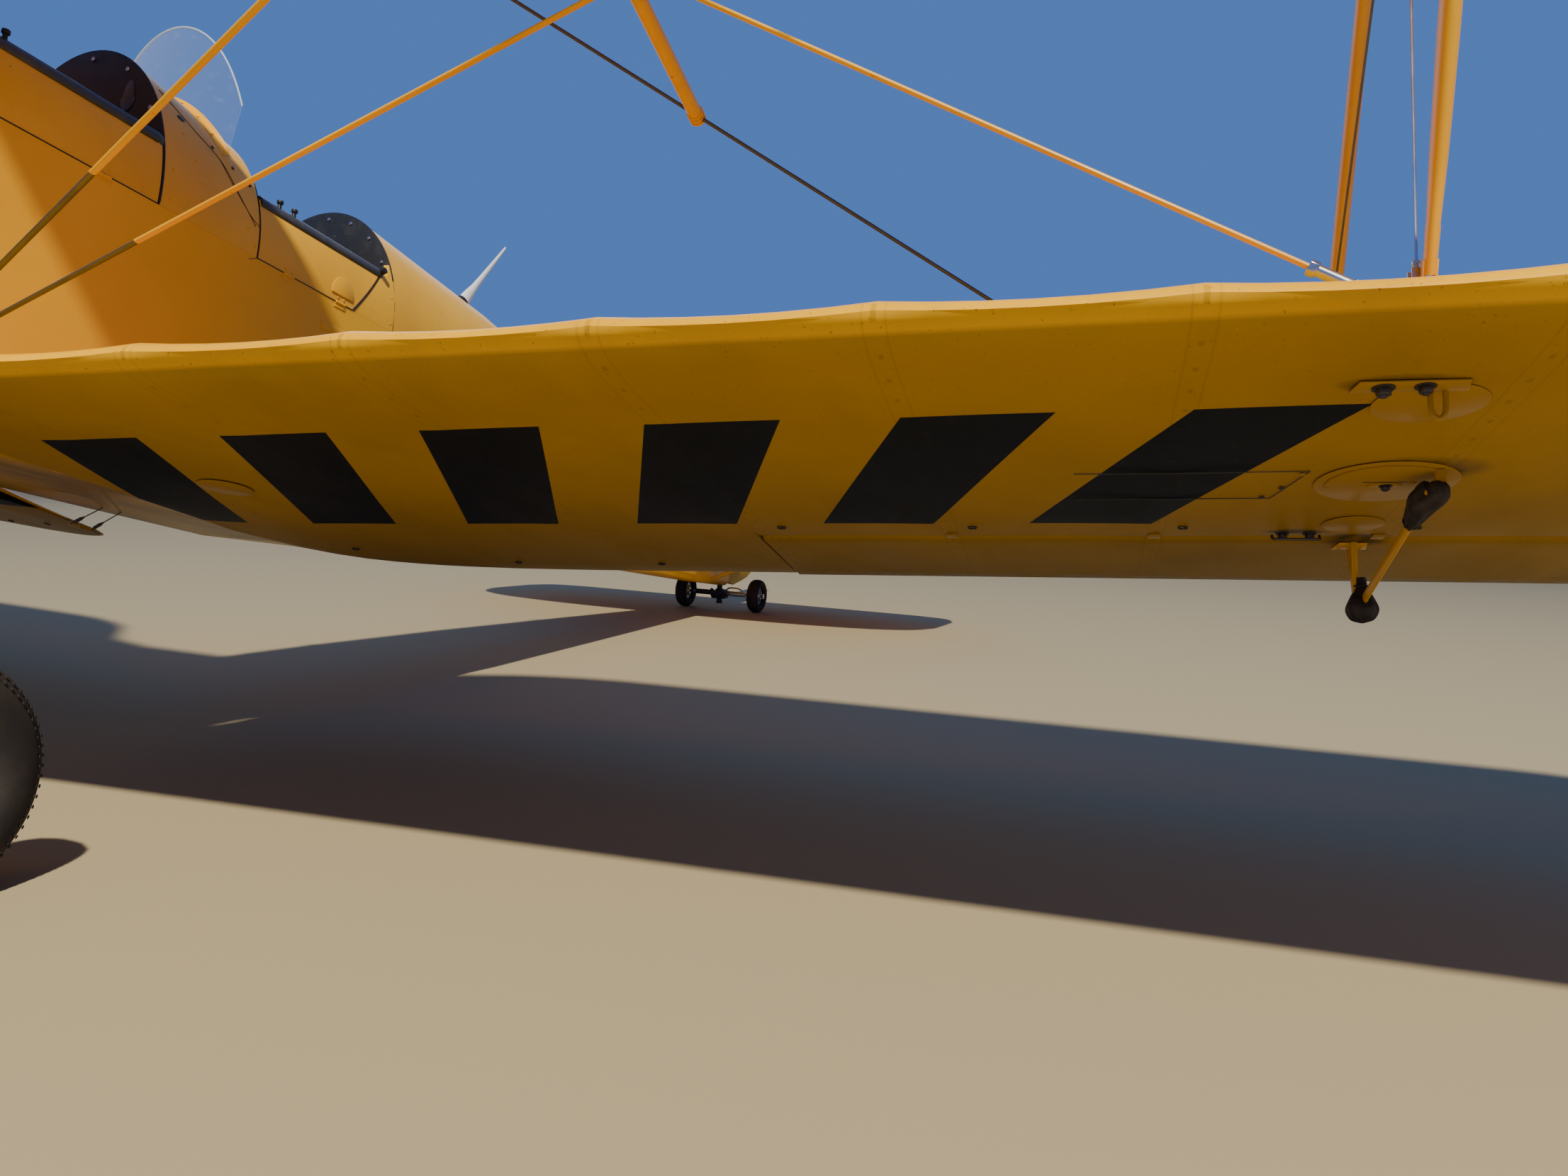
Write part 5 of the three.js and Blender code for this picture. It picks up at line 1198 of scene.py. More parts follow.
# Seats. Painted pans on side boards, with a rolled edge. A cushion and a back pad in worn brown leather are stuffed
# by simulation, then pressed in along their sewn channels.
SEATS = (("front", 0.215), ("rear", 1.065))
seat_paint = enamel("seat_paint", (0.12, 0.14, 0.115), (0.07, 0.085, 0.07), 0.42, (0.4, 0.4, 0.38))
seat_leather = leather("seat_leather", (0.085, 0.036, 0.016), (0.20, 0.095, 0.045))
for seat_name, y in SEATS:
    boards = []
    for x in (-0.24, 0.2235):
        boards.append(plate([(y, -0.0415), (y + 0.4, -0.0415), (y + 0.4, 0.31), (y + 0.06, 0.305), (y + 0.012, 0.28),
                             (y, 0.23)], 0.0165, facing("zxy", x),
                            0.003))
        rim_path = [(x + 0.008, y + 0.003, 0.0), (x + 0.008, y + 0.003, 0.22), (x + 0.008, y + 0.03, 0.292),
                    (x + 0.008, y + 0.2, 0.309), (x + 0.008, y + 0.378, 0.312)]
        boards.append(swept(smooth_path(rim_path, 24), circle(0.009, 10), (1, 0, 0)))
    boards.append(slab((-0.232, 0.232), (y + 0.002, y + 0.396), (0.1925, 0.211), 0.004))
    corner = circle(0.07, 8, 0, pi / 2)
    back_form = [(-0.24, 0.2), (0.24, 0.2)] + [(0.17 + a, 0.537 + b) for a, b in corner]
    back_form += [(-0.17 - a, 0.537 + b) for a, b in reversed(corner)]
    boards.append(plate(back_form, 0.02, facing("Xzy", 0, y + 0.379), 0.004))
    piece(f"seat_{seat_name}_pan", gathered(*boards), seat_paint, replaces=("seat_" + seat_name,), place=AIRCRAFT)


def stuffed(bm, cap):
    """A pad blown up under its leather by a cloth simulation, each point moving no further than the cap."""
    mesh = bpy.data.meshes.new("pad")
    bm.to_mesh(mesh)
    bm.free()
    pad = bpy.data.objects.new("pad", mesh)
    link(pad)
    remesh = pad.modifiers.new("remesh", "REMESH")
    remesh.mode = "VOXEL"
    remesh.voxel_size = 0.007
    pad.data = bpy.data.meshes.new_from_object(pad.evaluated_get(bpy.context.evaluated_depsgraph_get()))
    pad.modifiers.clear()
    start = np.array([v.co for v in pad.data.vertices])
    blown = start
    cloth = pad.modifiers.new("cloth", "CLOTH")
    cloth.settings.use_pressure = True
    cloth.settings.uniform_pressure_force = 4
    cloth.settings.effector_weights.gravity = 0
    for step in range(1, 21):
        bpy.context.scene.frame_set(step)
    swollen = pad.evaluated_get(bpy.context.evaluated_depsgraph_get()).to_mesh()
    blown = np.array([v.co for v in swollen.vertices])
    bpy.context.scene.frame_set(1)
    shift = blown - start
    length = np.linalg.norm(shift, axis=1, keepdims=True)
    shift *= np.minimum(1, cap / np.maximum(length, 1e-9))
    grown = bmesh.new()
    grown.from_mesh(pad.data)
    for v, move in zip(grown.verts, shift):
        v.co += Vector(move)
    bpy.data.objects.remove(pad)
    return grown


def pad_form(wide, deep, thick, channels):
    """A rounded pad with its sides drawn in between the corners, stuffed and then pressed along its channels."""
    bm = bmesh.new()
    bmesh.ops.create_cube(bm, size=1)
    bmesh.ops.scale(bm, vec=(wide, deep, thick), verts=bm.verts)
    bmesh.ops.subdivide_edges(bm, edges=list(bm.edges), cuts=5, use_grid_fill=True)
    for v in bm.verts:
        across, back = 2 * v.co.x / wide, 2 * v.co.y / deep
        v.co.x *= 1 - 0.05 * (1 - back * back)
        v.co.y *= 1 - 0.05 * (1 - across * across)
        v.co.z *= 0.55 + 0.45 * (1 - across ** 4) * (1 - back ** 4)
    bm = stuffed(bm, 0.012)
    for v in bm.verts:
        groove = max(exp(-((v.co.x - c * wide) / 0.006) ** 2) for c in channels)
        v.co.z -= 0.007 * groove * (v.co.z > 0) * max(0, 1 - (2 * v.co.y / deep) ** 6)
    bmesh.ops.smooth_vert(bm, verts=bm.verts, factor=0.4, use_axis_x=True, use_axis_y=True, use_axis_z=True)
    return bm


pan_pad = pad_form(0.385, 0.33, 0.062, (-0.25, 0, 0.25))
back_pad = pad_form(0.375, 0.31, 0.05, (-0.25, 0, 0.25))
for seat_name, y in SEATS:
    for pad_name, source, place in (
        ("cushion", pan_pad, moved(0, y + 0.19, 0.2525)),
        ("back_pad", back_pad, moved(0, y + 0.336, 0.44) @ Matrix.Rotation(pi / 2, 4, "X"))):
        made = piece(f"seat_{seat_name}_{pad_name}", source.copy(), seat_leather, place=AIRCRAFT @ place, sharp=180)

# Cockpit fittings: a black board of round instruments under each decking, and a control stick with a ribbed grip.
dial_white = Finish("dial_white", (0.75, 0.75, 0.70), 0.5)
at, *_ = dial_white.place()
dial_white.set(base_color=dial_white.mix(dial_white.noise(at, 300, 2), (0.78, 0.78, 0.72), (0.6, 0.6, 0.52)))
dial_paint = dial_white.material
DIALS = ((-0.19, 0.74, 0.030), (-0.10, 0.80, 0.036), (0, 0.74, 0.040), (0.10, 0.80, 0.036), (0.19, 0.74, 0.030),
         (0.0, 0.85, 0.026), (-0.1, 0.69, 0.024), (0.1, 0.69, 0.024))
for board_name, y in (("front", 0.098), ("rear", 0.938)):
    half, _, foot, crown = straight(FUSELAGE, y)
    face = AIRCRAFT @ facing("Xzy", 0, y)
    rim = [((half - 0.006) * cos(t), max(0.642, foot + (crown - foot - 0.006) * sin(t)))
           for t in np.linspace(0.02, pi - 0.02, 40)]
    bezels, marks = [plate(rim, 0.004, face, 0.001)], []
    for x, u, radius in DIALS:
        centre = face @ moved(x, u, 0.004)
        ring_path = [centre @ Vector((radius * cos(t), radius * sin(t), 0.003)) for t in np.linspace(0, 2 * pi, 25)]
        bezels.append(swept(ring_path, oval(0.0032, 0.004, 8), (0.1, 0.3, 0.9)))
        for k in range(10):
            turn = centre @ Matrix.Rotation(radians(-135 + 30 * k), 4, "Z")
            marks.append(plate([(-0.0008, radius * 0.68), (0.0008, radius * 0.68), (0.0008, radius * 0.88),
                                (-0.0008, radius * 0.88)], 0.0007, turn))
        marks.append(plate([(-0.0014, -radius * 0.2), (0.0014, -radius * 0.2), (0.0004, radius * 0.66),
                            (-0.0004, radius * 0.66)], 0.0012,
                           centre @ Matrix.Rotation(radians(40 + 900 * x), 4, "Z")))
    piece(f"instrument_board_{board_name}", gathered(*bezels), satin_black)
    piece(f"instrument_marks_{board_name}", gathered(*marks), dial_paint)
for stick_name, y in (("front", 0.165), ("rear", 1.005)):
    stick = smooth_path([(0, y, -0.04), (0, y + 0.005, 0.1), (0, y + 0.002, 0.24), (0, y + 0.02, 0.40)], 20)
    grip = smooth_path([(0, y + 0.006, 0.30), (0, y + 0.013, 0.36), (0, y + 0.023, 0.415)], 25)
    ribs = [1 + 0.09 * sin(i * 2.1) for i in range(25)]
    collar = bar(Vector((0, y, -0.0415)), Vector((0, y, -0.005)), 0.036, 0.018, 20)
    piece(f"control_stick_{stick_name}", gathered(
        swept(stick, circle(0.010, 12), (0, 1, 0)), swept(grip, oval(0.0165, 0.0145, 14), (0, 1, 0), ribs),
        collar), satin_black, place=AIRCRAFT)


# Whip aerial. A moulded black foot on the rear decking carries a white tapered rod that is raked aft.
AERIAL_AFT, AERIAL_UP, RAKE, RISE = 2.17, 0.97, 0.62, 0.94


def aerial_spot(up):
    return aboard(0, AERIAL_AFT + up * RAKE, AERIAL_UP + up * RISE)


whip_heights = (0.05, 0.075, 0.1, 0.15, 0.2, 0.28, 0.34, 0.385, 0.397, 0.4)
whip_sizes = (0.0195, 0.0185, 0.0165, 0.011, 0.009, 0.0068, 0.0052, 0.0042, 0.0034, 0.0016)
white = enamel("aerial_white", (0.74, 0.74, 0.70), (0.6, 0.6, 0.55), 0.38, (0.3, 0.29, 0.26), 0.3)
aerial_way = aboard_way(0, 1, 0)
whip = swept([aerial_spot(h) for h in whip_heights], oval(1.35, 1, 20), aerial_way, whip_sizes)
piece("aerial_whip", whip, white, replaces=("aerial",), sharp=60)
foot_heights = (0.016, 0.024, 0.032, 0.044, 0.056, 0.064, 0.066)
foot_sizes = (0.031, 0.030, 0.024, 0.0222, 0.0215, 0.021, 0.0195)
aerial_foot = swept([aerial_spot(h) for h in foot_heights], oval(1.4, 1, 20), aerial_way, foot_sizes)
piece("aerial_foot", aerial_foot, satin_black, sharp=60)


# Fuel tank. Tinned sheet in the shape of a thicker wing section, painted with the wings; it hangs between the upper
# wings and has a filler cap and two holding straps.
TANK_BULGE, TANK_CHORD, CAP_WALL = 1.5, 0.74, 0.446
TANK = wing_frame(*WING_SETTING["upper"][:2], 0, 0, 5.98, 0)


def tank_point(x, place, side):
    top, bottom = between(ROUND_SECTION, sqrt(place))
    height = ((top if side > 0 else bottom) - NOSE_RISE * (1 - place)) * TANK_BULGE * CHORD
    return Vector((x, place / LAST_PLACE * TANK_CHORD * CHORD, height))


tank_rings = []
for x in (-0.45, -0.444, -0.43, -0.2, 0, 0.2, 0.43, 0.444, 0.45):
    pinch = 0.985 if abs(x) > CAP_WALL else 1
    ring = [(tank_point(x, c, 1), c) for c in RING_PLACES] + [(tank_point(x, c, -1), -c) for c in RING_PLACES[-2:0:-1]]
    centre = Vector((x, 0.4, 0.03))
    tank_rings.append([(centre.lerp(p, pinch), mark) for p, mark in ring])
straps = [swept([tank_point(x, c, 1) + Vector((0, 0, 0.0012)) for c in RING_PLACES[2:-1]],
                [(-0.016, -0.0008), (0.016, -0.0008), (0.016, 0.0012), (-0.016, 0.0012)], (1, 0, 0))
          for x in (-0.24, 0.24)]
cap_spot = tank_point(0.1, 0.3, 1)
cap = [plate(circle(0.045, 28), 0.012, Matrix.Translation(cap_spot), 0.004),
       plate(circle(0.03, 20), 0.03, Matrix.Translation(cap_spot), 0.004),
       slab((0.062, 0.138), (cap_spot.y - 0.006, cap_spot.y + 0.006), (cap_spot.z + 0.028, cap_spot.z + 0.042), 0.003)]
tank_rivets = [rivet(Matrix.Translation(tank_point(x, c, 1)), 0.004) for x in (-0.436, 0.436)
               for c in np.arange(0.08, 1.0, 0.06)]
piece("fuel_tank_shell", gathered(skin(tank_rings), *straps, *tank_rivets), yellow_enamel, replaces=("fuel_tank",),
    place=TANK)
piece("fuel_tank_cap", gathered(*cap), bright_steel, slot="hub_steel", place=TANK)


# Centre struts. Streamlined steel tubes from the top longerons to the tank's fittings, with a brace between.
CABANE = (((0.318, -0.362, 0.64), (0.425, -0.435, 1.5), 0.066, 0.027),
          ((0.326, -0.062, 0.64), (0.425, 0.317, 1.425), 0.066, 0.027),
          ((0.326, -0.062, 0.64), (0.425, -0.435, 1.5), 0.04, 0.02))
centre_bars, centre_pins = [], []
for foot, head, chord, thick in CABANE:
    foot, head = Vector(foot), Vector(head)
    path = [foot.lerp(head, t) for t in (0.0, 0.03, 0.08, 0.5, 0.92, 0.97, 0.992)]
    centre_bars.append(swept(path, streamlined(chord, thick), (0, 1, 0), (0.7, 0.75, 1, 1, 1, 0.75, 0.7)))
    for t in (0.012, 0.978):
        spot = foot.lerp(head, t)
        centre_pins.append(bar(spot - Vector((0.019, 0, 0)), spot + Vector((0.019, 0, 0)), 0.007, sides=12))
        centre_pins.append(bar(spot - Vector((0.021, 0, 0)), spot + Vector((0.021, 0, 0)), 0.005, sides=6))
both_sides("cabane_struts", gathered(*centre_bars), yellow_enamel, replaces=("cabane_{}",), place=AIRCRAFT)
both_sides("cabane_pins", gathered(*centre_pins), dark_steel, place=AIRCRAFT)


# Cowling. A hollow sheet-metal nose round the engine, open at the firewall, with air intakes in its face and a large
# opening on each side that a hinged, louvred cowl door covers.
# Columns: aft, half width, bottom, foot of the crown, crown
COWL = ((-1.5, 0.118, 0.15, 0.52, 0.69), (-1.43, 0.175, 0.06, 0.545, 0.722), (-1.25, 0.225, -0.03, 0.572, 0.768),
        (-0.88, 0.275, -0.078, 0.602, 0.818), (-0.43, 0.305, -0.08, 0.628, 0.862))
THRUST = 0.55
HOLE_Y, HOLE_U, COWL_SKIN = (-1.242, -0.445), (0.043, 0.5604), 0.014
COWL_FRONT, COWL_BACK = -1.5, -0.4325
# Columns: the air intakes' sides, foot and top
INTAKES = ((0.03, 0.096, 0.21, 0.39), (-0.096, -0.03, 0.21, 0.29))
SIDE_MARKS = (HOLE_U[0], 0.12, 0.2, 0.3, 0.4, 0.5, HOLE_U[1])


def cowl_ring(y):
    half, bottom, foot, crown = (float(v) for v in between(COWL, y))
    low = bottom + CORNER
    marks = [u if y > -1.26 else low + (foot - low) * (u + 0.01) / 0.6 for u in SIDE_MARKS]
    port = [(half - CORNER + CORNER * sin(t), low - CORNER * cos(t)) for t in np.linspace(0, pi / 2, 6)]
    port += [(half, u) for u in marks]
    port += [(half * cos(t), foot + (crown - foot) * sin(t)) for t in np.linspace(0, pi / 2, 16, endpoint=False)]
    return [(Vector((x, y, z)), x + z) for x, z in port + [(0, crown)] + [(-x, z) for x, z in reversed(port)]]


cowl_stations = sorted({COWL_FRONT, -1.485, -1.46, -1.43, -1.38, -1.31, *HOLE_Y,
                        *(float(y) for y in np.linspace(-1.14, -0.55, 7)), COWL_BACK})
cowl = skin([cowl_ring(y) for y in cowl_stations])
open_faces = [f for f in cowl.faces if f.calc_center_median().y in (COWL_FRONT, COWL_BACK)]
for f in cowl.faces:
    middle = f.calc_center_median()
    if HOLE_Y[0] < middle.y < HOLE_Y[1] and HOLE_U[0] < middle.z < HOLE_U[1] and abs(middle.x) > 0.1:
        open_faces.append(f)
open_faces += [f for f in cowl.faces if len(f.verts) > 8 and f not in open_faces]
bmesh.ops.delete(cowl, geom=open_faces, context="FACES")
front_edges = [e for e in cowl.edges if all(abs(v.co.y - COWL_FRONT) < 1e-4 for v in e.verts)]
intake_loops = [[(x, low), (far, low), (far, high), (x, high)] for x, far, low, high in INTAKES]
for loop_points in ([(x, z + THRUST) for x, z in circle(0.05, 32)], *intake_loops):
    hole = [cowl.verts.new((x, COWL_FRONT, z)) for x, z in loop_points]
    front_edges += [cowl.edges.new((hole[i - 1], hole[i])) for i in range(len(hole))]
bmesh.ops.triangle_fill(cowl, use_beauty=True, use_dissolve=False, edges=front_edges)
bmesh.ops.recalc_face_normals(cowl, faces=cowl.faces)
bmesh.ops.solidify(cowl, geom=list(cowl.faces), thickness=COWL_SKIN)
bmesh.ops.recalc_face_normals(cowl, faces=cowl.faces)
lips = [bar((x, COWL_FRONT, z), (nx, COWL_FRONT, nz), 0.004, sides=8) for path in intake_loops
        for (x, z), (nx, nz) in zip(path, path[1:] + path[:1])]
firewall_rivets = []
for ring_y in (-0.45, -1.40):
    ring = cowl_ring(ring_y)
    middle = Vector((0, ring_y, 0.3))
    for (p, _), (q, _) in list(zip(ring, ring[1:]))[6:-6]:
        spot = (p + q) / 2
        firewall_rivets.append(rivet(aimed(spot, spot + (q - p).cross(Vector((0, 1, 0))) * -1), 0.0045))
piece("cowling_shell", gathered(cowl, *lips, *firewall_rivets), yellow_enamel, replaces=("cowling",), place=AIRCRAFT)


def cowl_side(y, u, out=0.0):
    """A place on the cowl door: x aft, y up and z outwards."""
    half, ahead = (float(between(COWL, y + dy)[0]) for dy in (0, -0.02))
    aft_way = Vector((half - ahead, 0.02, 0)).normalized()
    out_way = aft_way.cross(Vector((0, 0, 1)))
    return (Matrix.Translation(Vector((half, y, u)) + out_way * out)
            @ Matrix((aft_way, Vector((0, 0, 1)), out_way)).transposed().to_4x4())


door_rings = []
for y in np.linspace(-1.235, -0.452, 15).tolist():
    place = cowl_side(y, 0)
    ring = [(place @ Vector((0, u, out)), u + out) for out, marks in ((0, (0.05, 0.2, 0.4, 0.56)),
                                                                      (-COWL_SKIN, (0.56, 0.4, 0.2, 0.05)))
            for u in marks]
    door_rings.append([(Vector((p.x, y, p.z)), m) for p, m in ring])
louvre_form = [(-0.011, -0.001), (-0.009, 0.004), (-0.002, 0.0075), (0.006, 0.008), (0.007, 0.0062), (0.006, -0.001)]
louvres = []
for row in range(7):
    for start in (-0.62, -0.78):
        path = [cowl_side(start + dy, 0.16 + 0.045 * row).translation for dy in (
            0, 0.004, 0.02, 0.06, 0.1, 0.116, 0.12)]
        louvres.append(swept(path, louvre_form, (0, 0, 1), (0.25, 0.6, 1, 1, 1, 0.6, 0.25)))
stiffeners = [swept([cowl_side(y, u).translation for y in np.linspace(-1.2, -0.49, 9)],
                    [(-0.008, -0.001), (-0.004, 0.003), (0.004, 0.003), (0.008, -0.001)]) for u in (0.09, 0.505)]
door_rivets = [rivet(cowl_side(y, u), 0.004) for y in np.arange(-1.22, -0.46, 0.065) for u in (0.065, 0.545)]
cowl_door = gathered(skin(door_rings), *louvres, *stiffeners, *door_rivets)
both_sides("cowl_door_sheet", cowl_door, yellow_enamel, "cowl_door_{}", ("cowl_door_{}",), place=AIRCRAFT)
catches = []
for y in (-1.1, -0.84, -0.58):
    place = cowl_side(y, 0.078)
    catches += [plate(circle(0.013, 20), 0.004, place, 0.0012),
                plate([(-0.009, -0.0022), (0.009, -0.0022), (0.009, 0.0022), (-0.009, 0.0022)], 0.007, place, 0.0008)]
hinge_line = [cowl_side(y, 0.5575, 0.001).translation for y in np.linspace(-1.23, -0.457, 9)]
both_sides("cowl_door_catches", gathered(*catches, swept(hinge_line, circle(0.0032, 10))), bright_steel,
           "cowl_door_{}", place=AIRCRAFT, slot="hub_steel")


# Engine. A plain block in black engine paint, with cast ribs, four bolted covers a side and its plug leads.
engine_paint = enamel("engine_paint", (0.05, 0.052, 0.055), (0.028, 0.028, 0.03), 0.5, (0.25, 0.24, 0.22), 0.7)
casting = [slab((-0.11, 0.11), (-1.37, -0.43), (0.06, 0.585), 0.012)]
CYLINDERS = [-1.24 + 0.21 * k for k in range(4)]
for y in CYLINDERS:
    for side in (-1, 1):
        face = Matrix(((0, 0, side, 0.1095 * side), (side, 0, 0, y), (0, 1, 0, 0.45), (0, 0, 0, 1)))
        casting.append(plate(oval(0.075, 0.055, 28), 0.005, face, 0.0015))
        casting += [bolt(face @ moved(px, pz, 0.004), 0.0055) for px, pz in oval(0.062, 0.043, 6)]
        casting += [slab(sorted((side * 0.109, side * 0.113)), (y - 0.085, y + 0.085), (u, u + 0.004))
                    for u in np.arange(0.09, 0.36, 0.014)]
piece("engine_block", gathered(*casting), engine_paint, replaces=("engine",), place=AIRCRAFT)
leads = []
for y in CYLINDERS:
    for side in (-1, 1):
        leads.append(swept(smooth_path([(side * 0.112, y, 0.14), (side * 0.122, y, 0.15),
            (side * 0.121, y + 0.03, 0.3), (side * 0.118, y + 0.06, 0.374)], 16), circle(0.0038, 8), (0, 1, 0)))
leads += [bar((side * 0.118, -1.2, 0.376), (side * 0.118, -0.5, 0.376), 0.006, sides=10) for side in (-1, 1)]
piece("engine_leads", gathered(*leads), bright_steel, slot="engine_metal", place=AIRCRAFT)

# Propeller and shaft. Two blades of laminated, varnished wood with brass-sheathed leading edges, clamped between two
# steel plates by eight bolts; the flanged shaft turns with them.
# Columns: radius, chord, thickness
BLADE = ((0.05, 0.096, 0.086), (0.16, 0.118, 0.062), (0.32, 0.158, 0.04), (0.56, 0.164, 0.025), (0.78, 0.138, 0.016),
         (0.9, 0.104, 0.011), (0.95, 0.062, 0.008), (0.965, 0.026, 0.006))
PROPELLER_AFT, PITCH, STEEPEST = -1.592, 1.15, radians(62)
wood = Finish("varnished_wood", (0.2, 0.075, 0.02), 0.2, coat_weight=0.6, coat_roughness=0.08)
at, *_ = wood.place()
_, station, girth, _ = wood.place("UV")
grain = wood.noise(at, 4, 6, stretch=(3, 30, 3))
layer = abs(girth.wave(0.36)).over(0.09, 0.015)
colour = wood.mix(grain, (0.30, 0.125, 0.035), (0.13, 0.045, 0.012))
colour = wood.mix(layer * 0.45, colour, (0.09, 0.03, 0.008))
brass = (girth * -1).over(0.80, 0.01) * station.over(0.42, 0.004)
brass_tone = wood.mix(wood.noise(at, 40, 4), (0.62, 0.42, 0.13), (0.38, 0.25, 0.09))
wood.set(base_color=wood.mix(brass, colour, brass_tone), metallic=brass, roughness=0.2 + brass * 0.16,
         coat_weight=0.6 - brass * 0.6)
varnished = wood.bump(grain * 0.2 + brass * 0.6, 0.0008, 0.5)
blades = []
for r in (0.05, 0.08, 0.12, 0.16, 0.22, 0.28, 0.34, 0.42, 0.5, 0.58, 0.66, 0.74, 0.82, 0.88, 0.92, 0.945, 0.958,
        0.9645):
    chord, thick = (float(v) for v in between(BLADE, r))
    pitch = min(STEEPEST, atan(PITCH / (2 * pi * r)))
    blade_ring = []
    for t in np.linspace(0, 2 * pi, 40, endpoint=False):
        c, n = cos(t) * chord / 2, sin(t) * thick / 2
        blade_ring.append((Vector((r, c * sin(pitch) + n * cos(pitch), c * cos(pitch) - n * sin(pitch))), cos(t)))
    blades.append(blade_ring)
PARKED = AIRCRAFT @ moved(0, PROPELLER_AFT, THRUST) @ Matrix.Rotation(radians(-24), 4, "Y")
AXIS_FORWARD = facing("xZy")
boss = plate(circle(0.084, 56), 0.112, AXIS_FORWARD @ moved(0, 0, -0.056), 0.008)
piece("propeller_boss", boss, varnished, "propeller", ("propeller",), place=PARKED)
for blade_name, turn in (("a", 0), ("b", pi)):
    piece("propeller_blade_" + blade_name, skin(blades), varnished, "propeller",
          place=PARKED @ Matrix.Rotation(turn, 4, "Y"), sharp=60)
front_plate = [plate(circle(0.07, 48), 0.006, AXIS_FORWARD @ moved(0, 0, 0.0558), 0.0015),
               plate(circle(0.026, 6), 0.012, AXIS_FORWARD @ moved(0, 0, 0.056), 0.002)]
front_plate += [bolt(AXIS_FORWARD @ moved(px, pz, 0.0615), 0.0075) for px, pz in circle(0.053, 8)]
piece("propeller_plate", gathered(*front_plate), bright_steel, "propeller", slot="engine_metal", place=PARKED)
shaft = gathered(bar((0, -1.3704, THRUST), (0, -1.524, THRUST), 0.034, sides=32),
                 bar((0, -1.5356, THRUST), (0, -1.5236, THRUST), 0.078, sides=48),
                 *[bolt(moved(px, -1.5236, THRUST + pz) @ AXIS_FORWARD @ Matrix.Rotation(pi, 4, "X"),
                        0.0075) for px, pz in circle(0.056, 8)])
piece("propeller_shaft_steel", shaft, bright_steel, "propeller", ("propeller_shaft",), slot="engine_metal",
      place=AIRCRAFT)

# Exhaust. One long rusty pipe under the starboard side, with three bands round it, on two strap hangers.
rusty = Finish("exhaust_rust", (0.13, 0.06, 0.035), 0.75, metallic=0.4)
at, *_ = rusty.place()
scale = rusty.noise(at, 26, 8)
soot = rusty.noise(at, 5, 4)
colour = rusty.mix((scale * 1.4 - 0.3).math("MAXIMUM", 0, clamp=True), (0.21, 0.085, 0.035), (0.06, 0.042, 0.038))
rusty.set(base_color=rusty.mix(soot * 0.5, colour, (0.02, 0.018, 0.017)), roughness=0.6 + 0.3 * scale)
rust = rusty.bump(scale + rusty.noise(at, 300, 3) * 0.5, 0.001, 0.7)
pipe_path = smooth_path([(-0.19, -0.7, -0.06), (-0.19, -0.685, -0.12), (-0.19, -0.64, -0.165), (-0.19, -0.56, -0.175),
                         (-0.19, -0.2, -0.175), (-0.19, 0.42, -0.175)], 40)
pipe = swept(pipe_path, circle(0.03, 32), (1, 0, 0))
pipe_end = [f for f in pipe.faces if len(f.verts) > 8 and f.calc_center_median().y > 0.4]
bmesh.ops.inset_region(pipe, faces=pipe_end, thickness=0.003, use_even_offset=True)
bmesh.ops.translate(pipe, vec=(0, -0.12, 0), verts=list({v for f in pipe_end for v in f.verts}))
bands = [bar((-0.19, y - 0.016, -0.175), (-0.19, y + 0.016, -0.175), 0.0325, sides=32) for y in (-0.285, 0.0, 0.315)]
hangers = [slab((-0.196, -0.184), (y, y + 0.03), (-0.16, -0.062), 0.002) for y in (-0.3, 0.3)]
piece("exhaust_pipe_steel", gathered(pipe, *bands, *hangers), rust, replaces=("exhaust_pipe",),
      place=AIRCRAFT, sharp=40)


# Tail. Steel-tube frames under doped cloth, in flat symmetrical sections: a tailplane with two elevators joined by a
# torque tube, and a fin with a tall round rudder. Plain hinges join them; a strut braces the tailplane on each side.
TAIL_UP, TAIL_HALF, FIN_HALF, NOSE = 0.636, 0.032, 0.028, 0.024
ELEVATOR_AFT, RUDDER_AFT = 4.88, 5.056
TAIL_SECTION = ((0, 0), (0.004, 0.16), (0.012, 0.29), (0.03, 0.45), (0.07, 0.68), (0.12, 0.85), (0.2, 0.96), (0.3, 1),
                (0.45, 0.93), (0.6, 0.8), (0.85, 0.4), (1, 0.12))
TAILPLANE = ((0, 4.045, 5.262, 1), (1, 4.14, 5.262, 1), (1.3, 4.27, 5.235, 0.95), (1.43, 4.42, 5.15, 0.7),
             (1.475, 4.56, 5.01, 0.35))
RUDDER = ((0.374, 5.03, 5.19, 0.8), (0.46, 5.03, 5.4, 0.9), (0.6, 5.03, 5.545, 1), (0.8, 5.03, 5.628, 1),
          (1, 5.03, 5.65, 1), (1.18, 5.03, 5.61, 1), (1.32, 5.07, 5.515, 0.9), (1.4, 5.13, 5.41, 0.6),
          (1.44, 5.2, 5.33, 0.3))
FIN = ((0.66, 4.395, 5.09, 1), (0.8, 4.535, 5.09, 1), (1, 4.75, 5.09, 1), (1.13, 4.9, 5.09, 0.9),
       (1.196, 5, 5.09, 0.7))


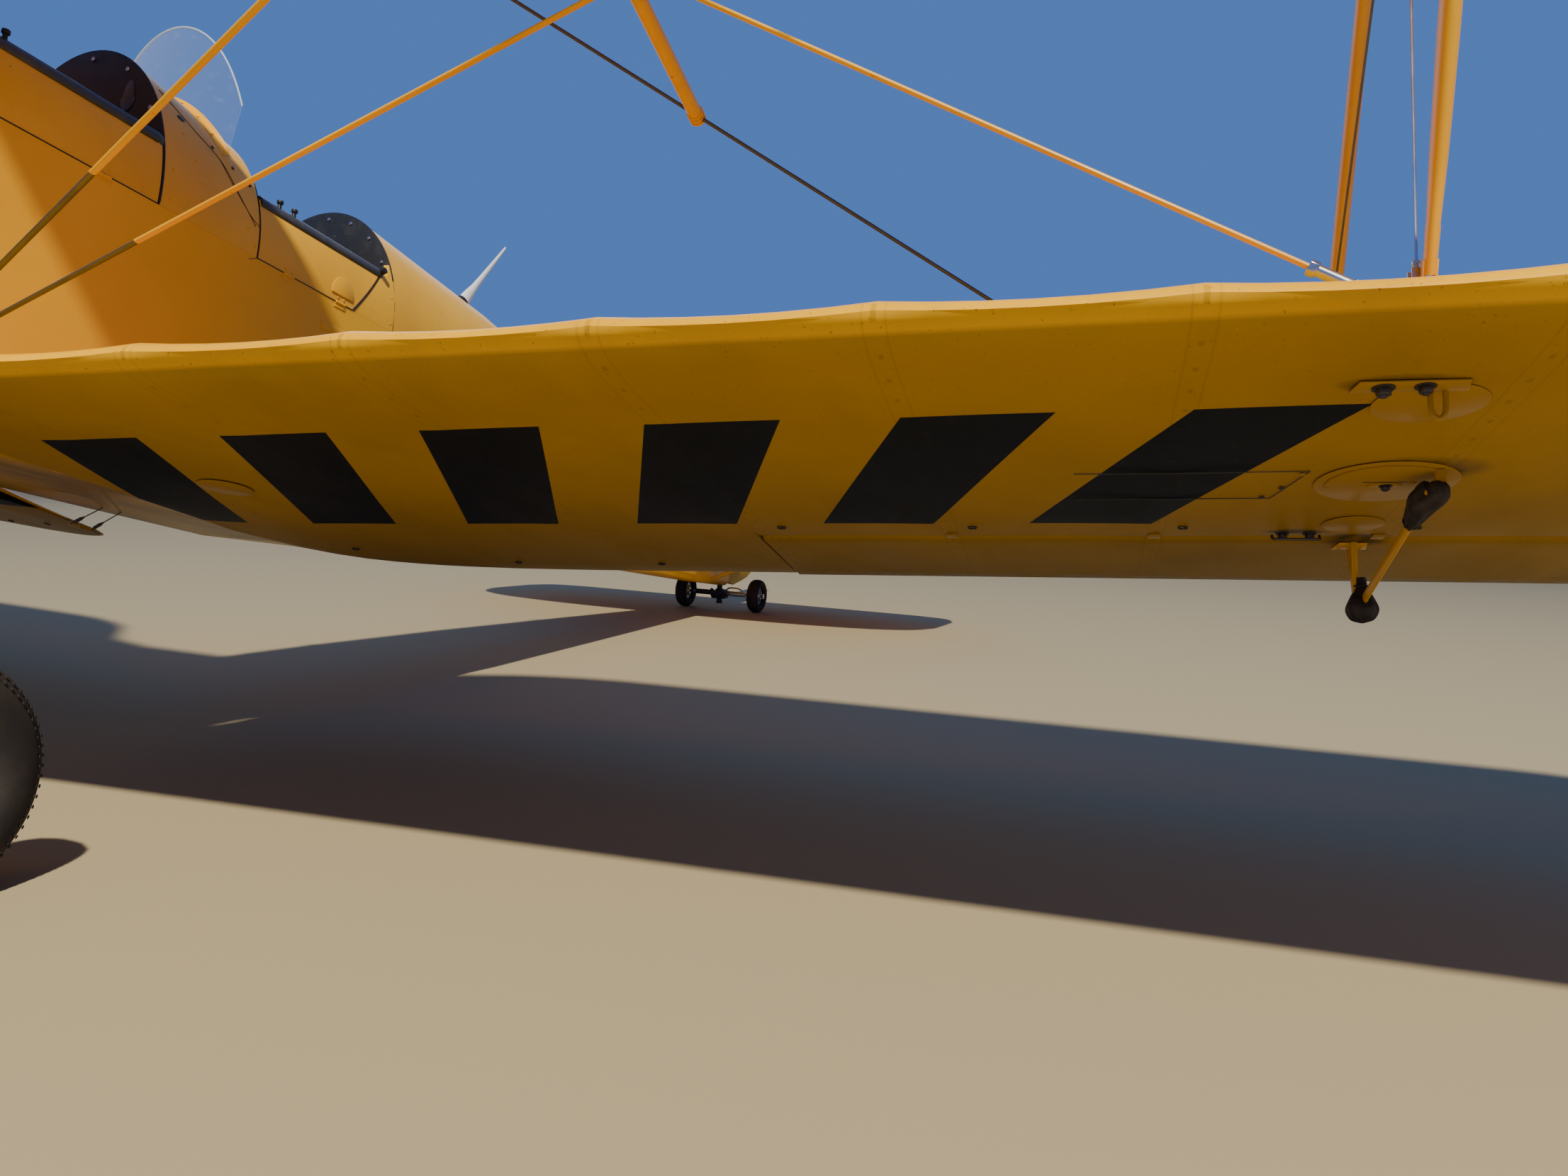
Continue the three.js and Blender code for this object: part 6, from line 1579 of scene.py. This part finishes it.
def tail_ring(table, x, half, start=None, end=None, nose=None, inner=None):
    """A ring round a tail surface at one station, cut at a start or an end, or rounded on a hinge line."""
    lead, trail, share = (float(v) for v in between(table, x))
    begin, finish = max(lead, start or 0), min(trail, end or 9)
    profile = []
    if nose and lead < nose:
        profile += [(nose - NOSE * cos(t), NOSE * sin(t)) for t in np.linspace(0.15, 1.45, 7)]
        begin = nose
    for t in np.linspace(0, 1, 18 if profile else 25):
        a = begin + (finish - begin) * t ** 1.6
        place = (a - lead) / (trail - lead)
        thick = half * share * float(np.interp(place, *zip(*TAIL_SECTION)))
        if nose and lead < nose and place < 0.3:
            thick = max(thick, NOSE * (1 - 0.1 * place))
        profile.append((a, max(thick, 0.0012)))
    ring = [(a, n) for a, n in profile] + [(a, -n) for a, n in reversed(profile)]
    return [(Vector((inner(a) if inner else x, a, n)), a if n > 0 else -a) for a, n in ring]


LEVEL = AIRCRAFT @ moved(0, 0, TAIL_UP)
UPRIGHT = AIRCRAFT @ facing("Zyx")
cloth, *_, tail_height = doped_cloth("tail_cloth", 0.285, 0.1425)
tail_cloth = cloth.bump(tail_height, 0.001, 0.6)
tail_stations = np.linspace(0, 1.3, 14).tolist() + [1.35, 1.39, 1.43, 1.455, 1.475]
tail_stations = [-x for x in reversed(tail_stations[1:])] + tail_stations
mirrored_plan = tuple((-x, *row) for x, *row in reversed(TAILPLANE[1:])) + TAILPLANE
tail_rings = [tail_ring(mirrored_plan, x, TAIL_HALF, end=ELEVATOR_AFT - NOSE - 0.008) for x in tail_stations]
piece("tailplane_skin", skin(tail_rings), tail_cloth, replaces=("tailplane",), place=LEVEL, sharp=40)


def slot_edge(a):
    return 0.0625 if a < 4.89 else 0.0625 + 0.088 * (a - 4.89) / 0.41


half_rings = [tail_ring(TAILPLANE, 0.16, TAIL_HALF, nose=ELEVATOR_AFT, inner=slot_edge)]
half_rings += [tail_ring(TAILPLANE, x, TAIL_HALF, nose=ELEVATOR_AFT if x < 1.4 else None, start=ELEVATOR_AFT - 0.018)
               for x in [0.16] + [x for x in tail_stations if x > 0.2]]
elevator_half = skin(half_rings)
other_half = mirrored(elevator_half)
piece("elevator_skin_left", elevator_half, tail_cloth, "elevator", ("elevator",), place=LEVEL, sharp=40)
piece("elevator_skin_right", other_half, tail_cloth, "elevator", place=LEVEL, sharp=40)
tube = bar((-0.07, ELEVATOR_AFT, 0), (0.07, ELEVATOR_AFT, 0), 0.014, sides=20)
piece("elevator_tube", tube, yellow_enamel, "elevator", place=LEVEL)
fin_rings = [[(Vector((0.655 if p.y < 4.845 else 0.6685, p.y, p.z)), m)
              for p, m in tail_ring(FIN, 0.67, FIN_HALF, end=RUDDER_AFT - NOSE - 0.008)]]
fin_rings += [tail_ring(FIN, u, FIN_HALF, end=RUDDER_AFT - NOSE - 0.008)
              for u in (0.67, 0.74, 0.8, 0.87, 0.94, 1, 1.06, 1.1, 1.13, 1.16, 1.18, 1.196)]
piece("fin_skin", skin(fin_rings), tail_cloth, replaces=("fin",), place=UPRIGHT, sharp=40)
rudder_rings = [tail_ring(RUDDER, u, FIN_HALF, nose=RUDDER_AFT if u < 1.27 else None, start=RUDDER_AFT - 0.018)
                for u in (0.374, 0.39, 0.42, 0.46, 0.52, 0.6, 0.7, 0.8, 0.9, 1, 1.1, 1.18, 1.24, 1.29, 1.32, 1.36, 1.4,
                          1.42, 1.44)]
piece("rudder_skin", skin(rudder_rings), tail_cloth, "rudder", ("rudder",), place=UPRIGHT, sharp=40)
strut_foot, strut_head = Vector((0.06, 4.705, 0.33)), Vector((0.81, 4.6, 0.637))
strut_path = [strut_foot.lerp(strut_head, t) for t in (0, 0.05, 0.12, 0.5, 0.9, 0.97, 1)]
brace = swept(strut_path, streamlined(0.04, 0.018), (0, 1, 0), (0.6, 0.75, 1, 1, 1, 0.75, 0.6))
both_sides("tail_strut_bar", brace, yellow_enamel, replaces=("tail_strut_{}",), place=AIRCRAFT)
tail_brackets = [slab((x - 0.014, x + 0.014), (4.835, 4.851), (TAIL_UP - 0.012, TAIL_UP + 0.012), 0.003)
                 for x in (0.6, 1.15)]
tail_brackets += [bar((0.78, 4.604, 0.628), (0.83, 4.6, 0.632), 0.009, sides=12)]
both_sides("tail_hinges", gathered(*tail_brackets), dark_steel, place=AIRCRAFT)


# Undercarriage. On each side a sprung leg in a streamlined sleeve, a radius rod and a half axle meet at the stub
# axle; the leg slides in a leather gaiter above its steel shoe.
HUB = Vector((0.798, -2.248, 0.23))
leg_foot, leg_head = Vector((0.688, -2.248, 0.25)), aboard(0.3, -0.3, -0.05)
rod_head_spot = aboard(0.285, 0.56, -0.05)
knee, root_low = Vector((0.698, -2.248, 0.23)), aboard(0.04, 0.06, -0.16)
root_high = aboard(0.04, 0.06, -0.0605)
belly_up = aboard_way(0, 0, 1)
BELLY = aboard(0, 0, -0.0602)
sleeve_path = [leg_foot.lerp(leg_head, t) for t in (0.34, 0.345, 0.38, 0.6, 0.9, 1.06)]
sleeve = trimmed(swept(sleeve_path, streamlined(0.074, 0.048), (0, 1, 0), (0.7, 0.92, 1, 1, 1, 1)), BELLY, belly_up)
shoe = swept([leg_foot.lerp(leg_head, t) for t in (-0.02, 0, 0.1, 0.16, 0.165)], streamlined(0.074, 0.048), (0, 1, 0),
             (0.6, 0.8, 0.85, 0.8, 0.6))
radius_rod = trimmed(swept([leg_foot.lerp(rod_head_spot, t) for t in (0, 0.03, 0.06, 0.5, 1.04)], circle(0.018, 16),
                           (0, 0, 1), (0.7, 0.75, 1, 1, 1)), BELLY, belly_up)
half_axle = swept([knee.lerp(root_low, t) for t in (0, 0.03, 0.07, 0.95, 1)], circle(0.024, 16), (0, 0, 1),
                  (0.8, 0.85, 1, 1, 0.8))
both_sides("undercarriage_tubes", gathered(sleeve, radius_rod, half_axle, bar(root_low, root_high, 0.022)),
           yellow_enamel, replaces=("undercarriage_{}",))
axle_bits = [bar(knee, HUB + Vector((0.082, 0, 0)), 0.02, sides=24), bar(knee, knee + Vector((0.018, 0, 0)), 0.042,
                                                                         sides=32), shoe]
axle_bits += [bar(leg_foot + Vector((0, 0, 0.004)), leg_foot + Vector((0, -0.04, 0.004)), 0.012, sides=12)]
both_sides("undercarriage_steel", gathered(*axle_bits), dark_steel)
boot_runs = [float(t) for t in np.linspace(0.14, 0.37, 15)]
boot_sizes = [0.62 if i in (0, 14) else (0.92 if i % 2 else 0.72) for i in range(15)]
boot = swept([leg_foot.lerp(leg_head, t) for t in boot_runs], oval(0.034, 0.028, 24), (0, 1, 0), boot_sizes)
both_sides("undercarriage_boot", boot, gaiter_leather, sharp=60)


# Wheels. A dished, bolted hub, and a tyre in brown-black rubber with one groove and studded shoulders, greyed
# with dust.
def spun(profile, place, steps=72):
    """A closed profile of (across, radius) pairs turned about the x axis."""
    bm = bmesh.new()
    verts = [bm.verts.new((x, 0, r)) for x, r in profile]
    edges = [bm.edges.new((verts[i - 1], verts[i])) for i in range(len(verts))]
    bmesh.ops.spin(bm, geom=verts + edges, cent=(0, 0, 0), axis=(1, 0, 0), angle=2 * pi, steps=steps, use_merge=True)
    bmesh.ops.remove_doubles(bm, verts=bm.verts, dist=1e-6)
    bmesh.ops.recalc_face_normals(bm, faces=bm.faces)
    bm.transform(place)
    return bm


GROOVE = 0.12


def mirror_profile(side):
    """A closed profile from the (half width, radius) pairs of one side."""
    return [(-a, r) for a, r in side] + [(a, r) for a, r in reversed(side)]


def tyre_profile(rim, radius, width):
    side = [(0.50, 0.02), (0.62, 0.0), (0.80, 0.10), (0.95, 0.24), (1.0, 0.38), (0.99, 0.52), (0.94, 0.68),
            (0.84, 0.80), (0.72, 0.875), (0.62, 0.92), (0.45, 0.965), (0.34, 0.992), (GROOVE + 0.045, 0.996),
            (GROOVE + 0.035, 0.955), (GROOVE - 0.035, 0.955), (GROOVE - 0.045, 0.998)]
    return [(a * width / 2, rim + r * (radius - rim)) for a, r in mirror_profile(side)]


rubber = Finish("tyre_rubber", (0.032, 0.027, 0.024), 0.82, specular_ior_level=0.28)
at, *_ = rubber.place()
dusty = rubber.noise(at, 7, 6)
tone = rubber.mix(dusty.beyond(0.4, 2.2) * 0.6, (0.026, 0.022, 0.02), (0.13, 0.095, 0.06))
rubber.set(base_color=tone, roughness=0.7 + 0.25 * dusty)
tyre_black = rubber.bump(rubber.noise(at, 200, 3) * 0.5 + dusty * 0.4, 0.0008, 0.7)
hub_metal = metal("hub_metal", (0.46, 0.46, 0.45), 0.34, (0.16, 0.14, 0.12), 0.6)


def wheel(name, centre, rim, radius, width, hub_profile, blocks, bolts):
    """A tyre with shoulder blocks and a bolted hub, turned about the axle on both sides."""
    place = Matrix.Translation(centre)
    rubber_parts = [spun(tyre_profile(rim, radius, width), place)]
    wall = radius - rim
    for k in range(blocks):
        turn = Matrix.Rotation(2 * pi * k / blocks, 4, "X")
        for side in (-1, 1):
            for out, share in ((0.395, 0.855), (0.445, 0.755)):
                seat = place @ turn @ moved(side * out * width, 0, rim + share * wall - 0.0006)
                rubber_parts.append(rivet(seat @ Matrix.Rotation(side * 0.9, 4, "Y"), radius * 0.017))
    tyre_node, hub_node = ("tyre_{}", "wheel_hub_{}") if name == "wheel" else (None, name + "_{}")
    both_sides(name + "_tyre", gathered(*rubber_parts), tyre_black, name + "_{}", (tyre_node,) if tyre_node else ())
    hub = [spun(hub_profile, place)]
    for px, pz in oval(bolts[1], bolts[1], bolts[0]):
        hub.append(bolt(place @ moved(bolts[2], px, pz) @ Matrix.Rotation(pi / 2, 4, "Y"), bolts[3]))
    both_sides(name + "_hub", gathered(*hub), hub_metal, name + "_{}", (hub_node,))


wheel("wheel", HUB, 0.118, 0.23, 0.15, mirror_profile((
    (0.062, 0.0212), (0.062, 0.036), (0.058, 0.042), (0.052, 0.05), (0.046, 0.08), (0.044, 0.1), (0.046, 0.112),
    (0.046, 0.1175))), 72, (8, 0.066, 0.0475, 0.0065))


# Tail dolly. Two small wheels on a plain axle under the tail, clamped to the skid's post: a square clamp block with
# two small loops, and a plated tube with a curved arm.
DOLLY = Vector((0, 2.867, 0.1))
wheel("dolly_wheel", DOLLY + Vector((0.238, 0, 0)), 0.052, 0.1, 0.07, mirror_profile((
    (0.028, 0.0095), (0.028, 0.018), (0.022, 0.022), (0.014, 0.034), (0.014, 0.046), (0.0145, 0.0515))), 48,
      (5, 0.030, 0.0155, 0.0042))
plated = metal("plated_steel", (0.62, 0.68, 0.74), 0.22, (0.3, 0.32, 0.34), 0.4)
dolly_paint = black_paint("dolly_paint", 0.02, 0.5)
clamp = [slab((-0.042, 0.042), (2.811, 2.893), (0.07, 0.118), 0.005),
         bar(DOLLY + Vector((-0.168, 0, 0)), DOLLY + Vector((-0.04, 0, 0)), 0.016, sides=20)]
clamp += [swept(smooth_path([(x, 2.83, 0.112), (x * 1.15, 2.80, 0.128), (x * 1.1, 2.79, 0.105), (x, 2.80, 0.084)], 20),
                circle(0.006, 10), (1, 0, 0)) for x in (-0.03, 0.03)]
piece("dolly_clamp", gathered(*clamp), dolly_paint, replaces=("dolly_frame",))
arm_path = smooth_path([(0.02, 2.86, 0.112), (0.06, 2.862, 0.135), (0.11, 2.865, 0.136), (0.155, 2.867, 0.112),
                        (0.166, 2.867, 0.1)], 30)
silver_bits = [bar(DOLLY + Vector((0.04, 0, 0)), DOLLY + Vector((0.168, 0, 0)), 0.016, sides=20),
               bar(DOLLY + Vector((-0.285, 0, 0)), DOLLY + Vector((0.285, 0, 0)), 0.009, sides=16),
               swept(arm_path, oval(0.008, 0.005, 12), (0, 1, 0))]
silver_bits += [bar(DOLLY + Vector((x, 0, 0)), DOLLY + Vector((x + 0.008, 0, 0)), 0.016, sides=6)
                for x in (-0.282, 0.274)]
silver_bits += [bolt(moved(x, 2.852, 0.1175), 0.008) for x in (-0.024, 0.024)]
piece("dolly_tube", gathered(*silver_bits), plated)
post = [bar((0, 2.845, 0.04), (0, 2.845, 0.166), 0.016, sides=24),
        bar((0, 2.845, 0.118), (0, 2.845, 0.128), 0.024, sides=24),
        bar((0, 2.845, 0.04), (0, 2.845, 0.052), 0.02, sides=24)]
piece("tail_skid_post", gathered(*post), satin_black, replaces=("tail_skid",), slot="dolly_paint")


# A small bracket with two turnbuckles under the starboard wing's root; thin cables lead from them to the belly.
root_plate = plate([(-0.03, -0.02), (0.03, -0.02), (0.022, 0.02), (-0.022, 0.02)], 0.012,
                   LOWER @ moved(0.36, 1.06, -0.016), 0.002)
piece("root_bracket", mirrored(root_plate), filmed_enamel)
cable_bits = []
for aft in (1.03, 1.09):
    start, end = wing_spot(0.36, aft, -0.012), aboard(0.20, aft + 0.02, -0.0605)
    start.x, end.x = -start.x, -end.x
    middle = start.lerp(end, 0.35)
    cable_bits += [bar(start, end, 0.0016, sides=8), bar(start.lerp(end, 0.12), middle, 0.005, sides=8),
                   bar(middle, start.lerp(end, 0.42), 0.0032, sides=8)]
piece("root_cables", gathered(*cable_bits), dark_steel)
